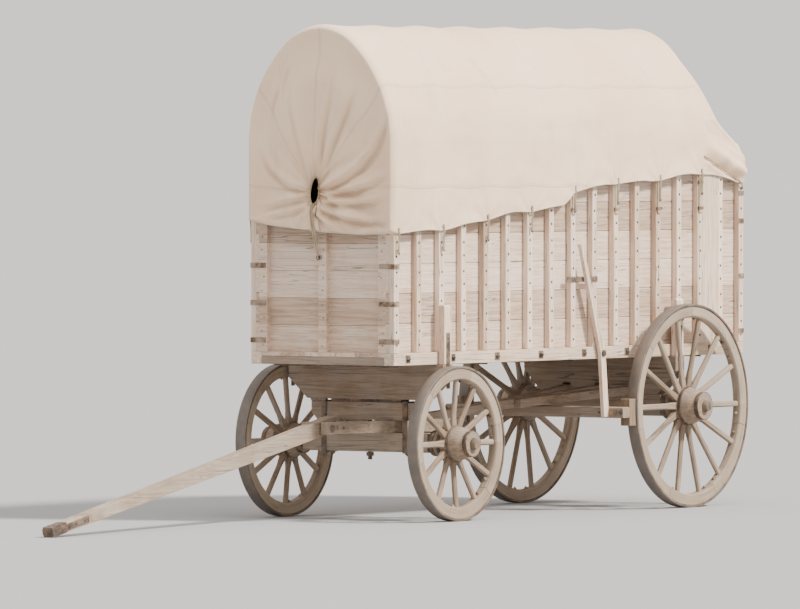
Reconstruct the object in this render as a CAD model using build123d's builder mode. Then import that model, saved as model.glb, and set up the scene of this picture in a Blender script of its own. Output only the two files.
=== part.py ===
from build123d import *
import os
from math import asin, atan, atan2, cos, degrees, hypot, radians, sin

os.makedirs("parts", exist_ok=True)

# A high-sided freight wagon with a canvas cover, drawn by oxen.
# X runs forwards along the wagon, Y to its left and Z up. The origin is on the
# ground, below the middle of the whole length with the tongue let down.

# Fits
SEAT = 0.3
BEARING = 0.5
RUNNING = 5.0
BOARD_JOINT = 2.0

# Wheels
FRONT_WHEEL_D = 1120.0
REAR_WHEEL_D = 1520.0
FRONT_SPOKES = 12
REAR_SPOKES = 14
TRACK = 1520.0
TYRE_WIDTH = 90.0
TYRE_THICK = 18.0
FELLOE_WIDTH = 76.0
FELLOE_DEPTH = 82.0
FELLOE_CHAMFER = 12.0
DISH = 34.0
FRONT_HUB_R = 125.0
REAR_HUB_R = 138.0
HUB_INBOARD = 150.0
HUB_OUTBOARD = 185.0
HUB_END_SHARE = 0.72
HUB_BAND_WIDTH = 36.0
HUB_BAND_THICK = 5.0
SHOULDER_BAND_WIDTH = 26.0
SPOKE_SHOULDER = (58.0, 42.0)
SPOKE_THROAT = (44.0, 30.0)
SPOKE_TENON = (42.0, 34.0)
SPOKE_CHAMFER = 9.0
THROAT_AT = 0.30
SPOKE_IN_HUB = 30.0
SPOKE_IN_FELLOE = 20.0
HUB_SEAT_MARGIN = 8.0
HUB_SWELL = 6.0

# Axles: wooden beams with tapered iron arms
AXLE_WIDTH = 140.0
FRONT_AXLE_HEIGHT = 140.0
REAR_AXLE_HEIGHT = 160.0
AXLE_CHAMFER = 14.0
ARM_ROOT_R = 38.0
ARM_TIP_R = 27.0
COLLAR_R = 58.0
COLLAR_THICK = 20.0
NUT_R = 44.0
NUT_THICK = 34.0
NUT_TAPER = 0.8

# Front gear
SLOT_HEIGHT = 90.0
SAND_BOARD = (130.0, 960.0, 130.0)
SAND_END_SHARE = 0.4
PLATE = (110.0, 620.0, 10.0)
KING_BOLT_R = 16.0
KING_HEAD = (27.0, 14.0)
KING_NUT = (28.0, 28.0)
KING_POINT = 26.0
CLIP = (40.0, 8.0)
CLIP_Y = 360.0
HOUND_FRONT = 700.0
HOUND_BACK = -480.0
HOUND_WIDTH = 60.0
SWAY_BAR = (60.0, 840.0, 60.0)
SWAY_INSET = 5.0
BAR_CHAMFER = 8.0
TONGUE_PIN_R = 13.0
TONGUE_PIN_HEAD = (22.0, 14.0)
HINGE_AHEAD = 640.0

# Reach, rear gear and bolsters
WHEELBASE = 3050.0
REACH_WIDTH = 76.0
REACH_HEIGHT = 64.0
REACH_NOSE = 80.0
REACH_TAIL = 380.0
REAR_HOUND_FEET = (268.0, 332.0)
GAIN_SLACK = 2.0
COUPLING_HOLE_R = 14.0
COUPLING_FROM_END = 70.0
BOLSTER_WIDTH = 120.0
BOLSTER_FOOT_HALF = 520.0
BOLSTER_END = 110.0
STAKE = (90.0, 50.0, 430.0)
STAKE_OFF = 4.0
STAKE_CHAMFER = 12.0

# Box
BOX_LENGTH = 4600.0
FRONT_OVERHANG = 600.0
INNER_HALF = 560.0
BOARD_THICK = 28.0
RIB_THICK = 45.0
RIB_WIDTH = 62.0
RIB_COUNT = 17
FILLED_BAY = RIB_COUNT - 3
SILL_TOP_WIDTH = 90.0
SILL_HEIGHT = 90.0
FLOOR_THICK = 30.0
FLOOR_BOARDS = 5
SIDE_HEIGHT = 1280.0
SIDE_BOARDS = 6
FRONT_BOARD_HEIGHT = 980.0
FRONT_BOARDS = 5
CLEAT = (45.0, 70.0)
BOLSTER_TOP = 1130.0

# Tailgate, let down on three strap hinges
GATE_HEIGHT = 1175.0
GATE_BOARDS = 5
GATE_CLEAT = (40.0, 70.0)
GATE_CLEAT_LIFT = 35.0
KNUCKLE_R = 14.0
KNUCKLE_GAP = 2.0
HINGE_DROP = 42.0
EYE_WIDTH = 20.0
EYE_TANG_TRIM = 4.0
HINGE_PIN_R = 6.0
STRAP = (8.0, 40.0, 620.0)
HINGE_YS = (-350.0, 0.0, 350.0)
SILL_SETBACK = 6.0

# Bows and canvas cover
BOW_THICK = 12.0
BOW_WIDTH = 45.0
BOW_FOOT = 2200.0
LAST_BOW_RIB = 14
BOW_EVERY = 2
TOP_RADIUS = 462.0
SHOULDER = 50.0
SPRING = 2725.0
CANVAS = 10.0
COVER_AHEAD = 70.0
COVER_EDGE_R = 60.0
COVER_BEHIND = 24.0
HEM_FRONT = 1950.0
HEM_REAR = 2540.0
HEM_SLACK = 10.0
HEM_TO_BASE = 100.0
REAR_SPRING = 2520.0
REAR_TOP_RADIUS = 1300.0
REAR_SHOULDER = 65.0
REAR_HOLE = (0.0, 2655.0, 60.0)
FRONT_HOLE = (-60.0, 2370.0)

# The drawn-up hole in the front: distance to the side and up from its middle
FRONT_HOLE_OUTLINE = [
    (0, -110),
    (48, -60),
    (48, 50),
    (0, 150),
    (-48, 50),
    (-48, -60),
]

# Tongue
TONGUE_LENGTH = 3300.0
TONGUE_BUTT = 200.0
TONGUE_WIDTH = 84.0
BUTT_HEIGHT = 112.0
TIP_HEIGHT = 72.0
TONGUE_SLACK = 8.0
TIP_IRON = 170.0
TIP_HOLE_R = 13.0
TIP_HOLE_BACK = 70.0
SIDE_STRAP = (420.0, 46.0, 6.0)

# Brake in front of the rear wheels
BRAKE_GAP = 12.0
BRAKE_BLOCK = (80.0, 80.0, 200.0)
BRAKE_BEAM = (90.0, 1600.0, 82.0)
BRAKE_BEAM_Z = 690.0
HANGER = (40.0, 8.0)
HANGER_Y = 584.0
LEVER_THICK = 30.0
LEVER_OFF = 10.0
LEVER_WIDTH = 56.0
LEVER_TOP = (300.0, 1980.0)
LEVER_TIP = 34.0
LEVER_HEEL = 10.0
LEVER_CHEEK = 6.0
RACK = (400.0, 44.0, 6.0)
RACK_Z = 1700.0
RACK_TOOTH = (25.0, 12.0)
PIVOT_R = 14.0
PIVOT_HEAD = (24.0, 10.0)
PIVOT_PROUD = 4.0
PIVOT_AHEAD = 40.0
PIVOT_Z = 1172.0

# Heights that follow from the wheels and the timbers stacked over them
FRONT_AXLE_Z = FRONT_WHEEL_D / 2
REAR_AXLE_Z = REAR_WHEEL_D / 2
FRONT_AXLE_TOP = FRONT_AXLE_Z + FRONT_AXLE_HEIGHT / 2
REAR_AXLE_TOP = REAR_AXLE_Z + REAR_AXLE_HEIGHT / 2
SAND_BASE = FRONT_AXLE_TOP + SLOT_HEIGHT
SAND_TOP = SAND_BASE + SAND_BOARD[2]
TURN_PLANE = SAND_TOP + PLATE[2]
FRONT_BOLSTER_BASE = TURN_PLANE + BEARING + PLATE[2]
FLOOR_TOP = BOLSTER_TOP + SILL_HEIGHT
SIDE_TOP = FLOOR_TOP + SIDE_HEIGHT
RIB_FACE = INNER_HALF + BOARD_THICK + RIB_THICK
SILL_INNER = RIB_FACE - SILL_TOP_WIDTH
BOLSTER_HALF = RIB_FACE + STAKE_OFF + STAKE[1]
HINGE_Z = FRONT_AXLE_TOP + SLOT_HEIGHT / 2

# The tongue's slope, with the lower corner of its tip on the ground
TONGUE_SLOPE = asin(HINGE_Z / hypot(TONGUE_LENGTH, TIP_HEIGHT / 2)) - atan2(TIP_HEIGHT / 2, TONGUE_LENGTH)
TONGUE_REACH = TONGUE_LENGTH * cos(TONGUE_SLOPE) + TIP_HEIGHT / 2 * sin(TONGUE_SLOPE)

# Places along the wagon
FRONT_EXTENT = HINGE_AHEAD + TONGUE_REACH
REAR_EXTENT = BOX_LENGTH - FRONT_OVERHANG + GATE_CLEAT[0]
KING_X = (REAR_EXTENT - FRONT_EXTENT) / 2
REAR_X = KING_X - WHEELBASE
BOX_FRONT = KING_X + FRONT_OVERHANG
BOX_REAR = BOX_FRONT - BOX_LENGTH
HINGE_X = KING_X + HINGE_AHEAD
RIB_PITCH = (BOX_LENGTH - RIB_WIDTH) / (RIB_COUNT - 1)
RIB_XS = [BOX_FRONT - RIB_WIDTH / 2 - i * RIB_PITCH for i in range(RIB_COUNT)]
BOW_XS = [RIB_XS[i] for i in range(0, LAST_BOW_RIB + 1, BOW_EVERY)]

# The reach rises from the slot over the front axle to the top of the rear one
NOSE_Z = FRONT_AXLE_TOP + RUNNING + 1
REACH_RUN = REACH_NOSE + WHEELBASE - AXLE_WIDTH / 2
REACH_SLOPE = atan((REAR_AXLE_TOP + SEAT - NOSE_Z) / REACH_RUN)
REACH_TO_REAR = (REACH_NOSE + WHEELBASE) / cos(REACH_SLOPE)
REACH_LENGTH = REACH_TO_REAR + REACH_TAIL
REACH_PLANE = Plane(
    origin=(KING_X + REACH_NOSE, 0, NOSE_Z),
    x_dir=(-cos(REACH_SLOPE), 0, sin(REACH_SLOPE)),
    z_dir=(sin(REACH_SLOPE), 0, cos(REACH_SLOPE)),
)


def keep(part, label):
    """Names one finished piece and writes it."""
    part.label = label
    export_step(part, f"parts/{label}.step")


def block(xs, ys, zs, mode=Mode.ADD):
    """A square timber between two x, two y and two z values."""
    middle = ((xs[0] + xs[1]) / 2, (ys[0] + ys[1]) / 2, (zs[0] + zs[1]) / 2)
    with Locations(middle):
        Box(abs(xs[1] - xs[0]), abs(ys[1] - ys[0]), abs(zs[1] - zs[0]), mode=mode)


def boards(start, end, count):
    """The lower and upper edge of each of a row of boards with open joints."""
    pitch = (end - start + BOARD_JOINT) / count
    return [(start + i * pitch, start + (i + 1) * pitch - BOARD_JOINT) for i in range(count)]


# Wheels: a turned hub, shaved spokes, sawn felloes and a shrunk iron tyre
def spoke_section(size, corner, distance):
    """One section of a spoke, a rectangle with its corners taken off."""
    with BuildSketch(Plane(origin=(distance, 0, 0), x_dir=(0, 1, 0), z_dir=(1, 0, 0))) as section:
        Rectangle(size[0], size[1])
        chamfer(section.vertices(), corner)
    return section.sketch


def make_wheel(name, centre_x, side, diameter, spoke_count, hub_r):
    radius = diameter / 2
    felloe_outer = radius - TYRE_THICK - SEAT
    felloe_inner = felloe_outer - FELLOE_DEPTH
    centre = (centre_x, side * TRACK / 2, radius)
    face = Plane(origin=centre, x_dir=(1, 0, 0), z_dir=(0, side, 0))
    lengthwise = Plane(origin=centre, x_dir=(1, 0, 0), z_dir=(0, 0, side))
    turning_axis = Axis(centre, (0, side, 0))

    with BuildPart(face) as tyre:
        with BuildSketch(face):
            Circle(radius)
            Circle(radius - TYRE_THICK, mode=Mode.SUBTRACT)
        extrude(amount=TYRE_WIDTH / 2, both=True)
    keep(tyre.part, f"{name}_tyre")

    half = FELLOE_WIDTH / 2
    with BuildPart() as felloes:
        with BuildSketch(lengthwise):
            with BuildLine():
                Polyline(
                    (felloe_outer, -half),
                    (felloe_outer, half),
                    (felloe_inner + FELLOE_CHAMFER, half),
                    (felloe_inner, half - FELLOE_CHAMFER),
                    (felloe_inner, FELLOE_CHAMFER - half),
                    (felloe_inner + FELLOE_CHAMFER, -half),
                    close=True,
                )
            make_face()
        revolve(axis=turning_axis)
        with Locations(face):
            with PolarLocations(radius, spoke_count // 2, start_angle=180 / spoke_count):
                Box(4 * (radius - felloe_inner), BOARD_JOINT, TYRE_WIDTH, mode=Mode.SUBTRACT)
    keep(felloes.part, f"{name}_felloes")

    # The spokes lean outwards from the hub to the rim: the wheel's dish
    spoke_from = hub_r - SPOKE_IN_HUB
    spoke_run = felloe_inner + SPOKE_IN_FELLOE - spoke_from
    spoke_length = hypot(spoke_run, DISH)
    lean = degrees(atan2(DISH, spoke_run))
    shoulder = spoke_section(SPOKE_SHOULDER, 2, 0)
    throat = spoke_section(SPOKE_THROAT, SPOKE_CHAMFER, spoke_length * THROAT_AT)
    tenon = spoke_section(SPOKE_TENON, SPOKE_CHAMFER, spoke_length)
    with BuildPart() as spoke:
        loft(sections=[shoulder, throat, tenon], ruled=True)
    leaning = Location((spoke_from, 0, -DISH), (0, -lean, 0))
    with BuildPart() as spokes:
        with Locations(face):
            with PolarLocations(0, spoke_count):
                add(spoke.part.moved(leaning))
        with BuildSketch(face):
            Circle(felloe_inner - SEAT)
            Circle(hub_r + SEAT, mode=Mode.SUBTRACT)
        extrude(amount=HUB_INBOARD, both=True, mode=Mode.INTERSECT)
    keep(spokes.part, f"{name}_spokes")

    inboard = -DISH - HUB_INBOARD
    outboard = -DISH + HUB_OUTBOARD
    end_r = hub_r * HUB_END_SHARE
    swell_r = (end_r + hub_r) / 2 + HUB_SWELL
    spoke_half = SPOKE_SHOULDER[1] / 2 + HUB_SEAT_MARGIN
    seat_half = spoke_half + SHOULDER_BAND_WIDTH
    with BuildPart() as hub:
        with BuildSketch(lengthwise):
            with BuildLine():
                Polyline(
                    (ARM_ROOT_R + SEAT, inboard),
                    (end_r, inboard),
                    (end_r, inboard + HUB_BAND_WIDTH),
                    (swell_r, (inboard + HUB_BAND_WIDTH - DISH - seat_half) / 2),
                    (hub_r, -DISH - seat_half),
                    (hub_r, -DISH + seat_half),
                    (swell_r, (outboard - HUB_BAND_WIDTH - DISH + seat_half) / 2),
                    (end_r, outboard - HUB_BAND_WIDTH),
                    (end_r, outboard),
                    (ARM_TIP_R + SEAT, outboard),
                    close=True,
                )
            make_face()
        revolve(axis=turning_axis)
    keep(hub.part, f"{name}_hub")

    # Iron bands shrunk on the hub's ends and on both sides of its spokes: radius, place
    hub_bands = [
        (end_r, inboard, inboard + HUB_BAND_WIDTH),
        (hub_r, -DISH - seat_half, -DISH - spoke_half),
        (hub_r, -DISH + spoke_half, -DISH + seat_half),
        (end_r, outboard - HUB_BAND_WIDTH, outboard),
    ]
    with BuildPart() as bands:
        for band_r, band_from, band_to in hub_bands:
            with BuildSketch(face.offset(band_from)):
                Circle(band_r + SEAT + HUB_BAND_THICK)
                Circle(band_r + SEAT, mode=Mode.SUBTRACT)
            extrude(amount=band_to - band_from)
    keep(bands.part, f"{name}_bands")


# name, x of the axle, side, diameter, spokes, hub radius
WHEELS = [
    ("wheel_front_left", KING_X, 1, FRONT_WHEEL_D, FRONT_SPOKES, FRONT_HUB_R),
    ("wheel_front_right", KING_X, -1, FRONT_WHEEL_D, FRONT_SPOKES, FRONT_HUB_R),
    ("wheel_rear_left", REAR_X, 1, REAR_WHEEL_D, REAR_SPOKES, REAR_HUB_R),
    ("wheel_rear_right", REAR_X, -1, REAR_WHEEL_D, REAR_SPOKES, REAR_HUB_R),
]
for row in WHEELS:
    make_wheel(*row)

# Axles and the iron arms at their ends
HUB_INNER_FACE = TRACK / 2 - DISH - HUB_INBOARD
HUB_OUTER_FACE = TRACK / 2 - DISH + HUB_OUTBOARD
BEAM_HALF = HUB_INNER_FACE - BEARING - COLLAR_THICK


def make_arms(name, centre_x, centre_z):
    """The two tapered arms, each with a collar inside the hub and a nut outside it."""
    with BuildPart() as arms:
        for side in (1, -1):
            axle_line = Plane(origin=(centre_x, 0, centre_z), x_dir=(1, 0, 0), z_dir=(0, 0, side))
            with BuildSketch(axle_line):
                with BuildLine():
                    Polyline(
                        (0, BEAM_HALF),
                        (COLLAR_R, BEAM_HALF),
                        (COLLAR_R, BEAM_HALF + COLLAR_THICK),
                        (ARM_ROOT_R, BEAM_HALF + COLLAR_THICK),
                        (ARM_ROOT_R, HUB_INNER_FACE),
                        (ARM_TIP_R, HUB_OUTER_FACE),
                        (ARM_TIP_R, HUB_OUTER_FACE + BEARING),
                        (NUT_R, HUB_OUTER_FACE + BEARING),
                        (NUT_R * NUT_TAPER, HUB_OUTER_FACE + BEARING + NUT_THICK),
                        (0, HUB_OUTER_FACE + BEARING + NUT_THICK),
                        close=True,
                    )
                make_face()
            revolve(axis=Axis((centre_x, 0, centre_z), (0, side, 0)))
    keep(arms.part, name)


make_arms("front_axle_arms", KING_X, FRONT_AXLE_Z)
make_arms("rear_axle_arms", REAR_X, REAR_AXLE_Z)


def make_beam(name, centre_x, centre_z, height, bolt_hole):
    """An axle beam with its edges taken off, bored for the king bolt where it has one."""
    with BuildPart() as beam:
        with BuildSketch(Plane(origin=(centre_x, 0, centre_z), x_dir=(1, 0, 0), z_dir=(0, -1, 0))):
            Rectangle(AXLE_WIDTH, height)
        extrude(amount=BEAM_HALF, both=True)
        lower = beam.edges().filter_by(Axis.Y).group_by(Axis.Z)[0]
        chamfer(lower, AXLE_CHAMFER)
        if bolt_hole:
            with Locations((centre_x, 0, centre_z)):
                Cylinder(KING_BOLT_R + SEAT, height + 2, mode=Mode.SUBTRACT)
    keep(beam.part, name)


make_beam("front_axle", KING_X, FRONT_AXLE_Z, FRONT_AXLE_HEIGHT, True)
make_beam("rear_axle", REAR_X, REAR_AXLE_Z, REAR_AXLE_HEIGHT, False)

# Front gear: sand board, rub plates, hounds and sway bar turn about the king bolt
SAND_XS = (KING_X - SAND_BOARD[0] / 2, KING_X + SAND_BOARD[0] / 2)
PLATE_XS = (KING_X - PLATE[0] / 2, KING_X + PLATE[0] / 2)
PLATE_YS = (-PLATE[1] / 2, PLATE[1] / 2)

with BuildPart() as sand_board:
    block(SAND_XS, (-SAND_BOARD[1] / 2, SAND_BOARD[1] / 2), (SAND_BASE, SAND_TOP))
    ends = sand_board.edges().filter_by(Axis.X).group_by(Axis.Z)[0]
    chamfer(ends, SAND_BOARD[2] * SAND_END_SHARE)
    with Locations((KING_X, 0, SAND_BASE)):
        Cylinder(KING_BOLT_R + SEAT, SAND_BOARD[2] * 3, mode=Mode.SUBTRACT)
keep(sand_board.part, "sand_board")

with BuildPart() as sand_plate:
    block(PLATE_XS, PLATE_YS, (SAND_TOP, TURN_PLANE))
    with Locations((KING_X, 0, SAND_TOP)):
        Cylinder(KING_BOLT_R + SEAT, PLATE[2] * 3, mode=Mode.SUBTRACT)
keep(sand_plate.part, "sand_board_plate")

with BuildPart() as bolster_plate:
    block(PLATE_XS, PLATE_YS, (TURN_PLANE + BEARING, FRONT_BOLSTER_BASE))
    with Locations((KING_X, 0, TURN_PLANE)):
        Cylinder(KING_BOLT_R + SEAT, PLATE[2] * 4, mode=Mode.SUBTRACT)
keep(bolster_plate.part, "bolster_plate")

# Clips bind the front axle and the sand board outside the hounds
with BuildPart() as axle_clips:
    for side in (1, -1):
        clip_ys = (side * (CLIP_Y - CLIP[0] / 2), side * (CLIP_Y + CLIP[0] / 2))
        for grow, mode in ((SEAT + CLIP[1], Mode.ADD), (SEAT, Mode.SUBTRACT)):
            half_x = AXLE_WIDTH / 2 + grow
            low_z = FRONT_AXLE_Z - FRONT_AXLE_HEIGHT / 2 - grow
            block((KING_X - half_x, KING_X + half_x), clip_ys, (low_z, SAND_TOP + grow), mode=mode)
keep(axle_clips.part, "front_axle_clips")

# Distance ahead of the king bolt and from the centre line, inner edge then outer
HOUND_JAW = TONGUE_WIDTH / 2 + SIDE_STRAP[2] + TONGUE_SLACK
HOUND_PLAN = [
    (HOUND_FRONT, HOUND_JAW),
    (450, HOUND_JAW),
    (70, 195),
    (-70, 215),
    (HOUND_BACK, 345),
    (HOUND_BACK, 412),
    (-70, 285),
    (70, 262),
    (430, HOUND_JAW + HOUND_WIDTH),
    (HOUND_FRONT, HOUND_JAW + HOUND_WIDTH),
]
with BuildPart() as front_hounds:
    for side in (1, -1):
        with BuildSketch(Plane.XY.offset(FRONT_AXLE_TOP)):
            with BuildLine():
                Polyline([(KING_X + x, side * y) for x, y in HOUND_PLAN], close=True)
            make_face()
        extrude(amount=SLOT_HEIGHT)
    with BuildSketch(Plane(origin=(HINGE_X, 0, HINGE_Z), x_dir=(1, 0, 0), z_dir=(0, -1, 0))):
        Circle(TONGUE_PIN_R + SEAT)
    extrude(amount=HOUND_JAW * 4, both=True, mode=Mode.SUBTRACT)
keep(front_hounds.part, "front_hounds")

with BuildPart() as sway_bar:
    bar_x = KING_X + HOUND_BACK + SWAY_INSET
    block(
        (bar_x, bar_x + SWAY_BAR[0]),
        (-SWAY_BAR[1] / 2, SWAY_BAR[1] / 2),
        (FRONT_AXLE_TOP - SWAY_BAR[2], FRONT_AXLE_TOP),
    )
    chamfer(sway_bar.edges().filter_by(Axis.Y), BAR_CHAMFER)
keep(sway_bar.part, "sway_bar")

with BuildPart() as tongue_pin:
    pin_half = HOUND_JAW + HOUND_WIDTH
    with Locations((HINGE_X, 0, HINGE_Z)):
        Cylinder(TONGUE_PIN_R, pin_half * 2, rotation=(90, 0, 0))
    for side in (1, -1):
        with Locations((HINGE_X, side * (pin_half + TONGUE_PIN_HEAD[1] / 2), HINGE_Z)):
            Cylinder(TONGUE_PIN_HEAD[0], TONGUE_PIN_HEAD[1], rotation=(90, 0, 0))
keep(tongue_pin.part, "tongue_pin")

# King bolt, its head let into the bolster and its nut below the front axle
KING_BASE = FRONT_AXLE_Z - FRONT_AXLE_HEIGHT / 2 - RUNNING
with BuildPart() as king_bolt:
    with Locations((KING_X, 0, KING_BASE - KING_NUT[1] - KING_POINT)):
        Cylinder(
            KING_BOLT_R,
            BOLSTER_TOP - KING_BASE + KING_NUT[1] + KING_POINT,
            align=(Align.CENTER, Align.CENTER, Align.MIN),
        )
    with Locations((KING_X, 0, BOLSTER_TOP)):
        Cylinder(KING_HEAD[0], KING_HEAD[1], align=(Align.CENTER, Align.CENTER, Align.MAX))
    with BuildSketch(Plane(origin=(KING_X, 0, KING_BASE))):
        RegularPolygon(KING_NUT[0], 6)
    extrude(amount=-KING_NUT[1])
keep(king_bolt.part, "king_bolt")

# Reach and rear hounds lie in one sloping plane
with BuildPart() as reach:
    with BuildSketch(REACH_PLANE):
        with Locations((REACH_LENGTH / 2, 0)):
            Rectangle(REACH_LENGTH, REACH_WIDTH)
        with Locations((REACH_LENGTH - COUPLING_FROM_END, 0)):
            Circle(COUPLING_HOLE_R, mode=Mode.SUBTRACT)
    extrude(amount=REACH_HEIGHT)
    with Locations((KING_X, 0, NOSE_Z)):
        Cylinder(KING_BOLT_R + SEAT, SLOT_HEIGHT * 3, mode=Mode.SUBTRACT)
keep(reach.part, "reach")

# Distance ahead of the rear axle and from the centre line
REAR_HOUND_PLAN = [
    (1250, REACH_WIDTH / 2),
    (1050, REACH_WIDTH / 2),
    (70, REAR_HOUND_FEET[0]),
    (-70, REAR_HOUND_FEET[0]),
    (-70, REAR_HOUND_FEET[1]),
    (70, REAR_HOUND_FEET[1]),
    (1080, REACH_WIDTH / 2 + 62),
    (1250, REACH_WIDTH / 2 + 56),
]
with BuildPart() as rear_hounds:
    for side in (1, -1):
        with BuildSketch(REACH_PLANE):
            with BuildLine():
                Polyline([(REACH_TO_REAR - u, side * v) for u, v in REAR_HOUND_PLAN], close=True)
            make_face()
        extrude(amount=REACH_HEIGHT)
keep(rear_hounds.part, "rear_hounds")

# Bolsters carry the box, their ends swept up clear of the hubs
def bolster_outline(centre_x, base):
    """A bolster as it is seen from the front, as a solid."""
    outline = Plane(origin=(centre_x, 0, 0), x_dir=(0, 1, 0), z_dir=(1, 0, 0))
    with BuildPart() as outlined:
        with BuildSketch(outline):
            with BuildLine():
                Polyline(
                    (-BOLSTER_FOOT_HALF, base),
                    (BOLSTER_FOOT_HALF, base),
                    (BOLSTER_HALF, BOLSTER_TOP - BOLSTER_END),
                    (BOLSTER_HALF, BOLSTER_TOP),
                    (-BOLSTER_HALF, BOLSTER_TOP),
                    (-BOLSTER_HALF, BOLSTER_TOP - BOLSTER_END),
                    close=True,
                )
            make_face()
        extrude(amount=BOLSTER_WIDTH / 2, both=True)
    return outlined.part


with BuildPart() as front_bolster:
    add(bolster_outline(KING_X, FRONT_BOLSTER_BASE))
    with Locations((KING_X, 0, FRONT_BOLSTER_BASE)):
        Cylinder(KING_BOLT_R + SEAT, BOLSTER_TOP, mode=Mode.SUBTRACT)
    with Locations((KING_X, 0, BOLSTER_TOP)):
        Cylinder(KING_HEAD[0] + SEAT, 2 * KING_HEAD[1] + 2 * SEAT, mode=Mode.SUBTRACT)
keep(front_bolster.part, "front_bolster")

BAR_RISE = AXLE_WIDTH * sin(REACH_SLOPE) + REACH_HEIGHT / cos(REACH_SLOPE) + RUNNING
with BuildPart() as rear_bolster:
    rear_xs = (REAR_X - BOLSTER_WIDTH / 2, REAR_X + BOLSTER_WIDTH / 2)
    add(bolster_outline(REAR_X, REAR_AXLE_TOP))
    gain_zs = (REAR_AXLE_TOP, REAR_AXLE_TOP + BAR_RISE)
    reach_half = REACH_WIDTH / 2 + GAIN_SLACK
    block(rear_xs, (-reach_half, reach_half), gain_zs, mode=Mode.SUBTRACT)
    for side in (1, -1):
        foot_ys = (side * (REAR_HOUND_FEET[0] - GAIN_SLACK), side * (REAR_HOUND_FEET[1] + GAIN_SLACK))
        block(rear_xs, foot_ys, gain_zs, mode=Mode.SUBTRACT)
keep(rear_bolster.part, "rear_bolster")

with BuildPart() as bolster_stakes:
    for stake_x in (KING_X, REAR_X):
        for side in (1, -1):
            block(
                (stake_x - STAKE[0] / 2, stake_x + STAKE[0] / 2),
                (side * (BOLSTER_HALF - STAKE[1]), side * BOLSTER_HALF),
                (BOLSTER_TOP, BOLSTER_TOP + STAKE[2]),
            )
    chamfer(bolster_stakes.edges().filter_by(Axis.X).group_by(Axis.Z)[-1], STAKE_CHAMFER)
keep(bolster_stakes.part, "bolster_stakes")

# Box frame and floor
with BuildPart() as side_sills:
    for side in (1, -1):
        block((BOX_REAR, BOX_FRONT), (side * SILL_INNER, side * RIB_FACE), (BOLSTER_TOP, FLOOR_TOP))
keep(side_sills.part, "side_sills")

SILL_W = SILL_TOP_WIDTH
SILL_XS = [
    BOX_FRONT - SILL_SETBACK - SILL_W / 2,
    KING_X,
    (KING_X + REAR_X) / 2,
    REAR_X,
    BOX_REAR + SILL_SETBACK + SILL_W / 2,
]
with BuildPart() as cross_sills:
    for sill_x in SILL_XS:
        block(
            (sill_x - SILL_W / 2, sill_x + SILL_W / 2),
            (-SILL_INNER, SILL_INNER),
            (BOLSTER_TOP, FLOOR_TOP - FLOOR_THICK),
        )
keep(cross_sills.part, "cross_sills")

with BuildPart() as floor_boards:
    for edge, far_edge in boards(-SILL_INNER, SILL_INNER, FLOOR_BOARDS):
        block(
            (BOX_REAR + SILL_SETBACK, BOX_FRONT - SILL_SETBACK),
            (edge, far_edge),
            (FLOOR_TOP - FLOOR_THICK, FLOOR_TOP),
        )
keep(floor_boards.part, "floor_boards")

# Sides: wide boards inside, upright ribs outside
for side, word in ((1, "left"), (-1, "right")):
    with BuildPart() as side_boards:
        for low, high in boards(FLOOR_TOP, SIDE_TOP, SIDE_BOARDS):
            block(
                (BOX_REAR, BOX_FRONT),
                (side * INNER_HALF, side * (INNER_HALF + BOARD_THICK)),
                (low, high),
            )
    keep(side_boards.part, f"side_boards_{word}")

    with BuildPart() as ribs:
        for rib_x in RIB_XS:
            block(
                (rib_x - RIB_WIDTH / 2, rib_x + RIB_WIDTH / 2),
                (side * (INNER_HALF + BOARD_THICK), side * RIB_FACE),
                (FLOOR_TOP, SIDE_TOP),
            )
        # A wide upright board fills the bay before the last one, flush with the ribs
        block(
            (RIB_XS[FILLED_BAY + 1] + RIB_WIDTH / 2 + SEAT, RIB_XS[FILLED_BAY] - RIB_WIDTH / 2 - SEAT),
            (side * (INNER_HALF + BOARD_THICK), side * RIB_FACE),
            (FLOOR_TOP, SIDE_TOP),
        )
    keep(ribs.part, f"ribs_{word}")

# Front end: boards held by three cleats
FRONT_FACE = BOX_FRONT - CLEAT[0]
with BuildPart() as front_end:
    for low, high in boards(FLOOR_TOP, FLOOR_TOP + FRONT_BOARD_HEIGHT, FRONT_BOARDS):
        block((FRONT_FACE - BOARD_THICK, FRONT_FACE), (-INNER_HALF, INNER_HALF), (low, high))
    for cleat_y in (-INNER_HALF + CLEAT[1] / 2, 0, INNER_HALF - CLEAT[1] / 2):
        block(
            (FRONT_FACE, BOX_FRONT),
            (cleat_y - CLEAT[1] / 2, cleat_y + CLEAT[1] / 2),
            (FLOOR_TOP, FLOOR_TOP + FRONT_BOARD_HEIGHT),
        )
keep(front_end.part, "front_end")

# Tailgate: boards and cleats, and the strap hinges below it
GATE_HALF = INNER_HALF - RUNNING
GATE_BASE = FLOOR_TOP + RUNNING
GATE_AXIS_X = BOX_REAR - KNUCKLE_R - KNUCKLE_GAP
GATE_AXIS_Z = FLOOR_TOP - HINGE_DROP
with BuildPart() as tailgate:
    for low, high in boards(GATE_BASE, GATE_BASE + GATE_HEIGHT, GATE_BOARDS):
        block((BOX_REAR, BOX_REAR + BOARD_THICK), (-GATE_HALF, GATE_HALF), (low, high))
    for cleat_y in (-GATE_HALF + GATE_CLEAT[1] / 2, GATE_HALF - GATE_CLEAT[1] / 2):
        block(
            (BOX_REAR - GATE_CLEAT[0], BOX_REAR),
            (cleat_y - GATE_CLEAT[1] / 2, cleat_y + GATE_CLEAT[1] / 2),
            (GATE_BASE + GATE_CLEAT_LIFT, GATE_BASE + GATE_HEIGHT - GATE_CLEAT_LIFT),
        )
keep(tailgate.part, "tailgate")

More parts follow.
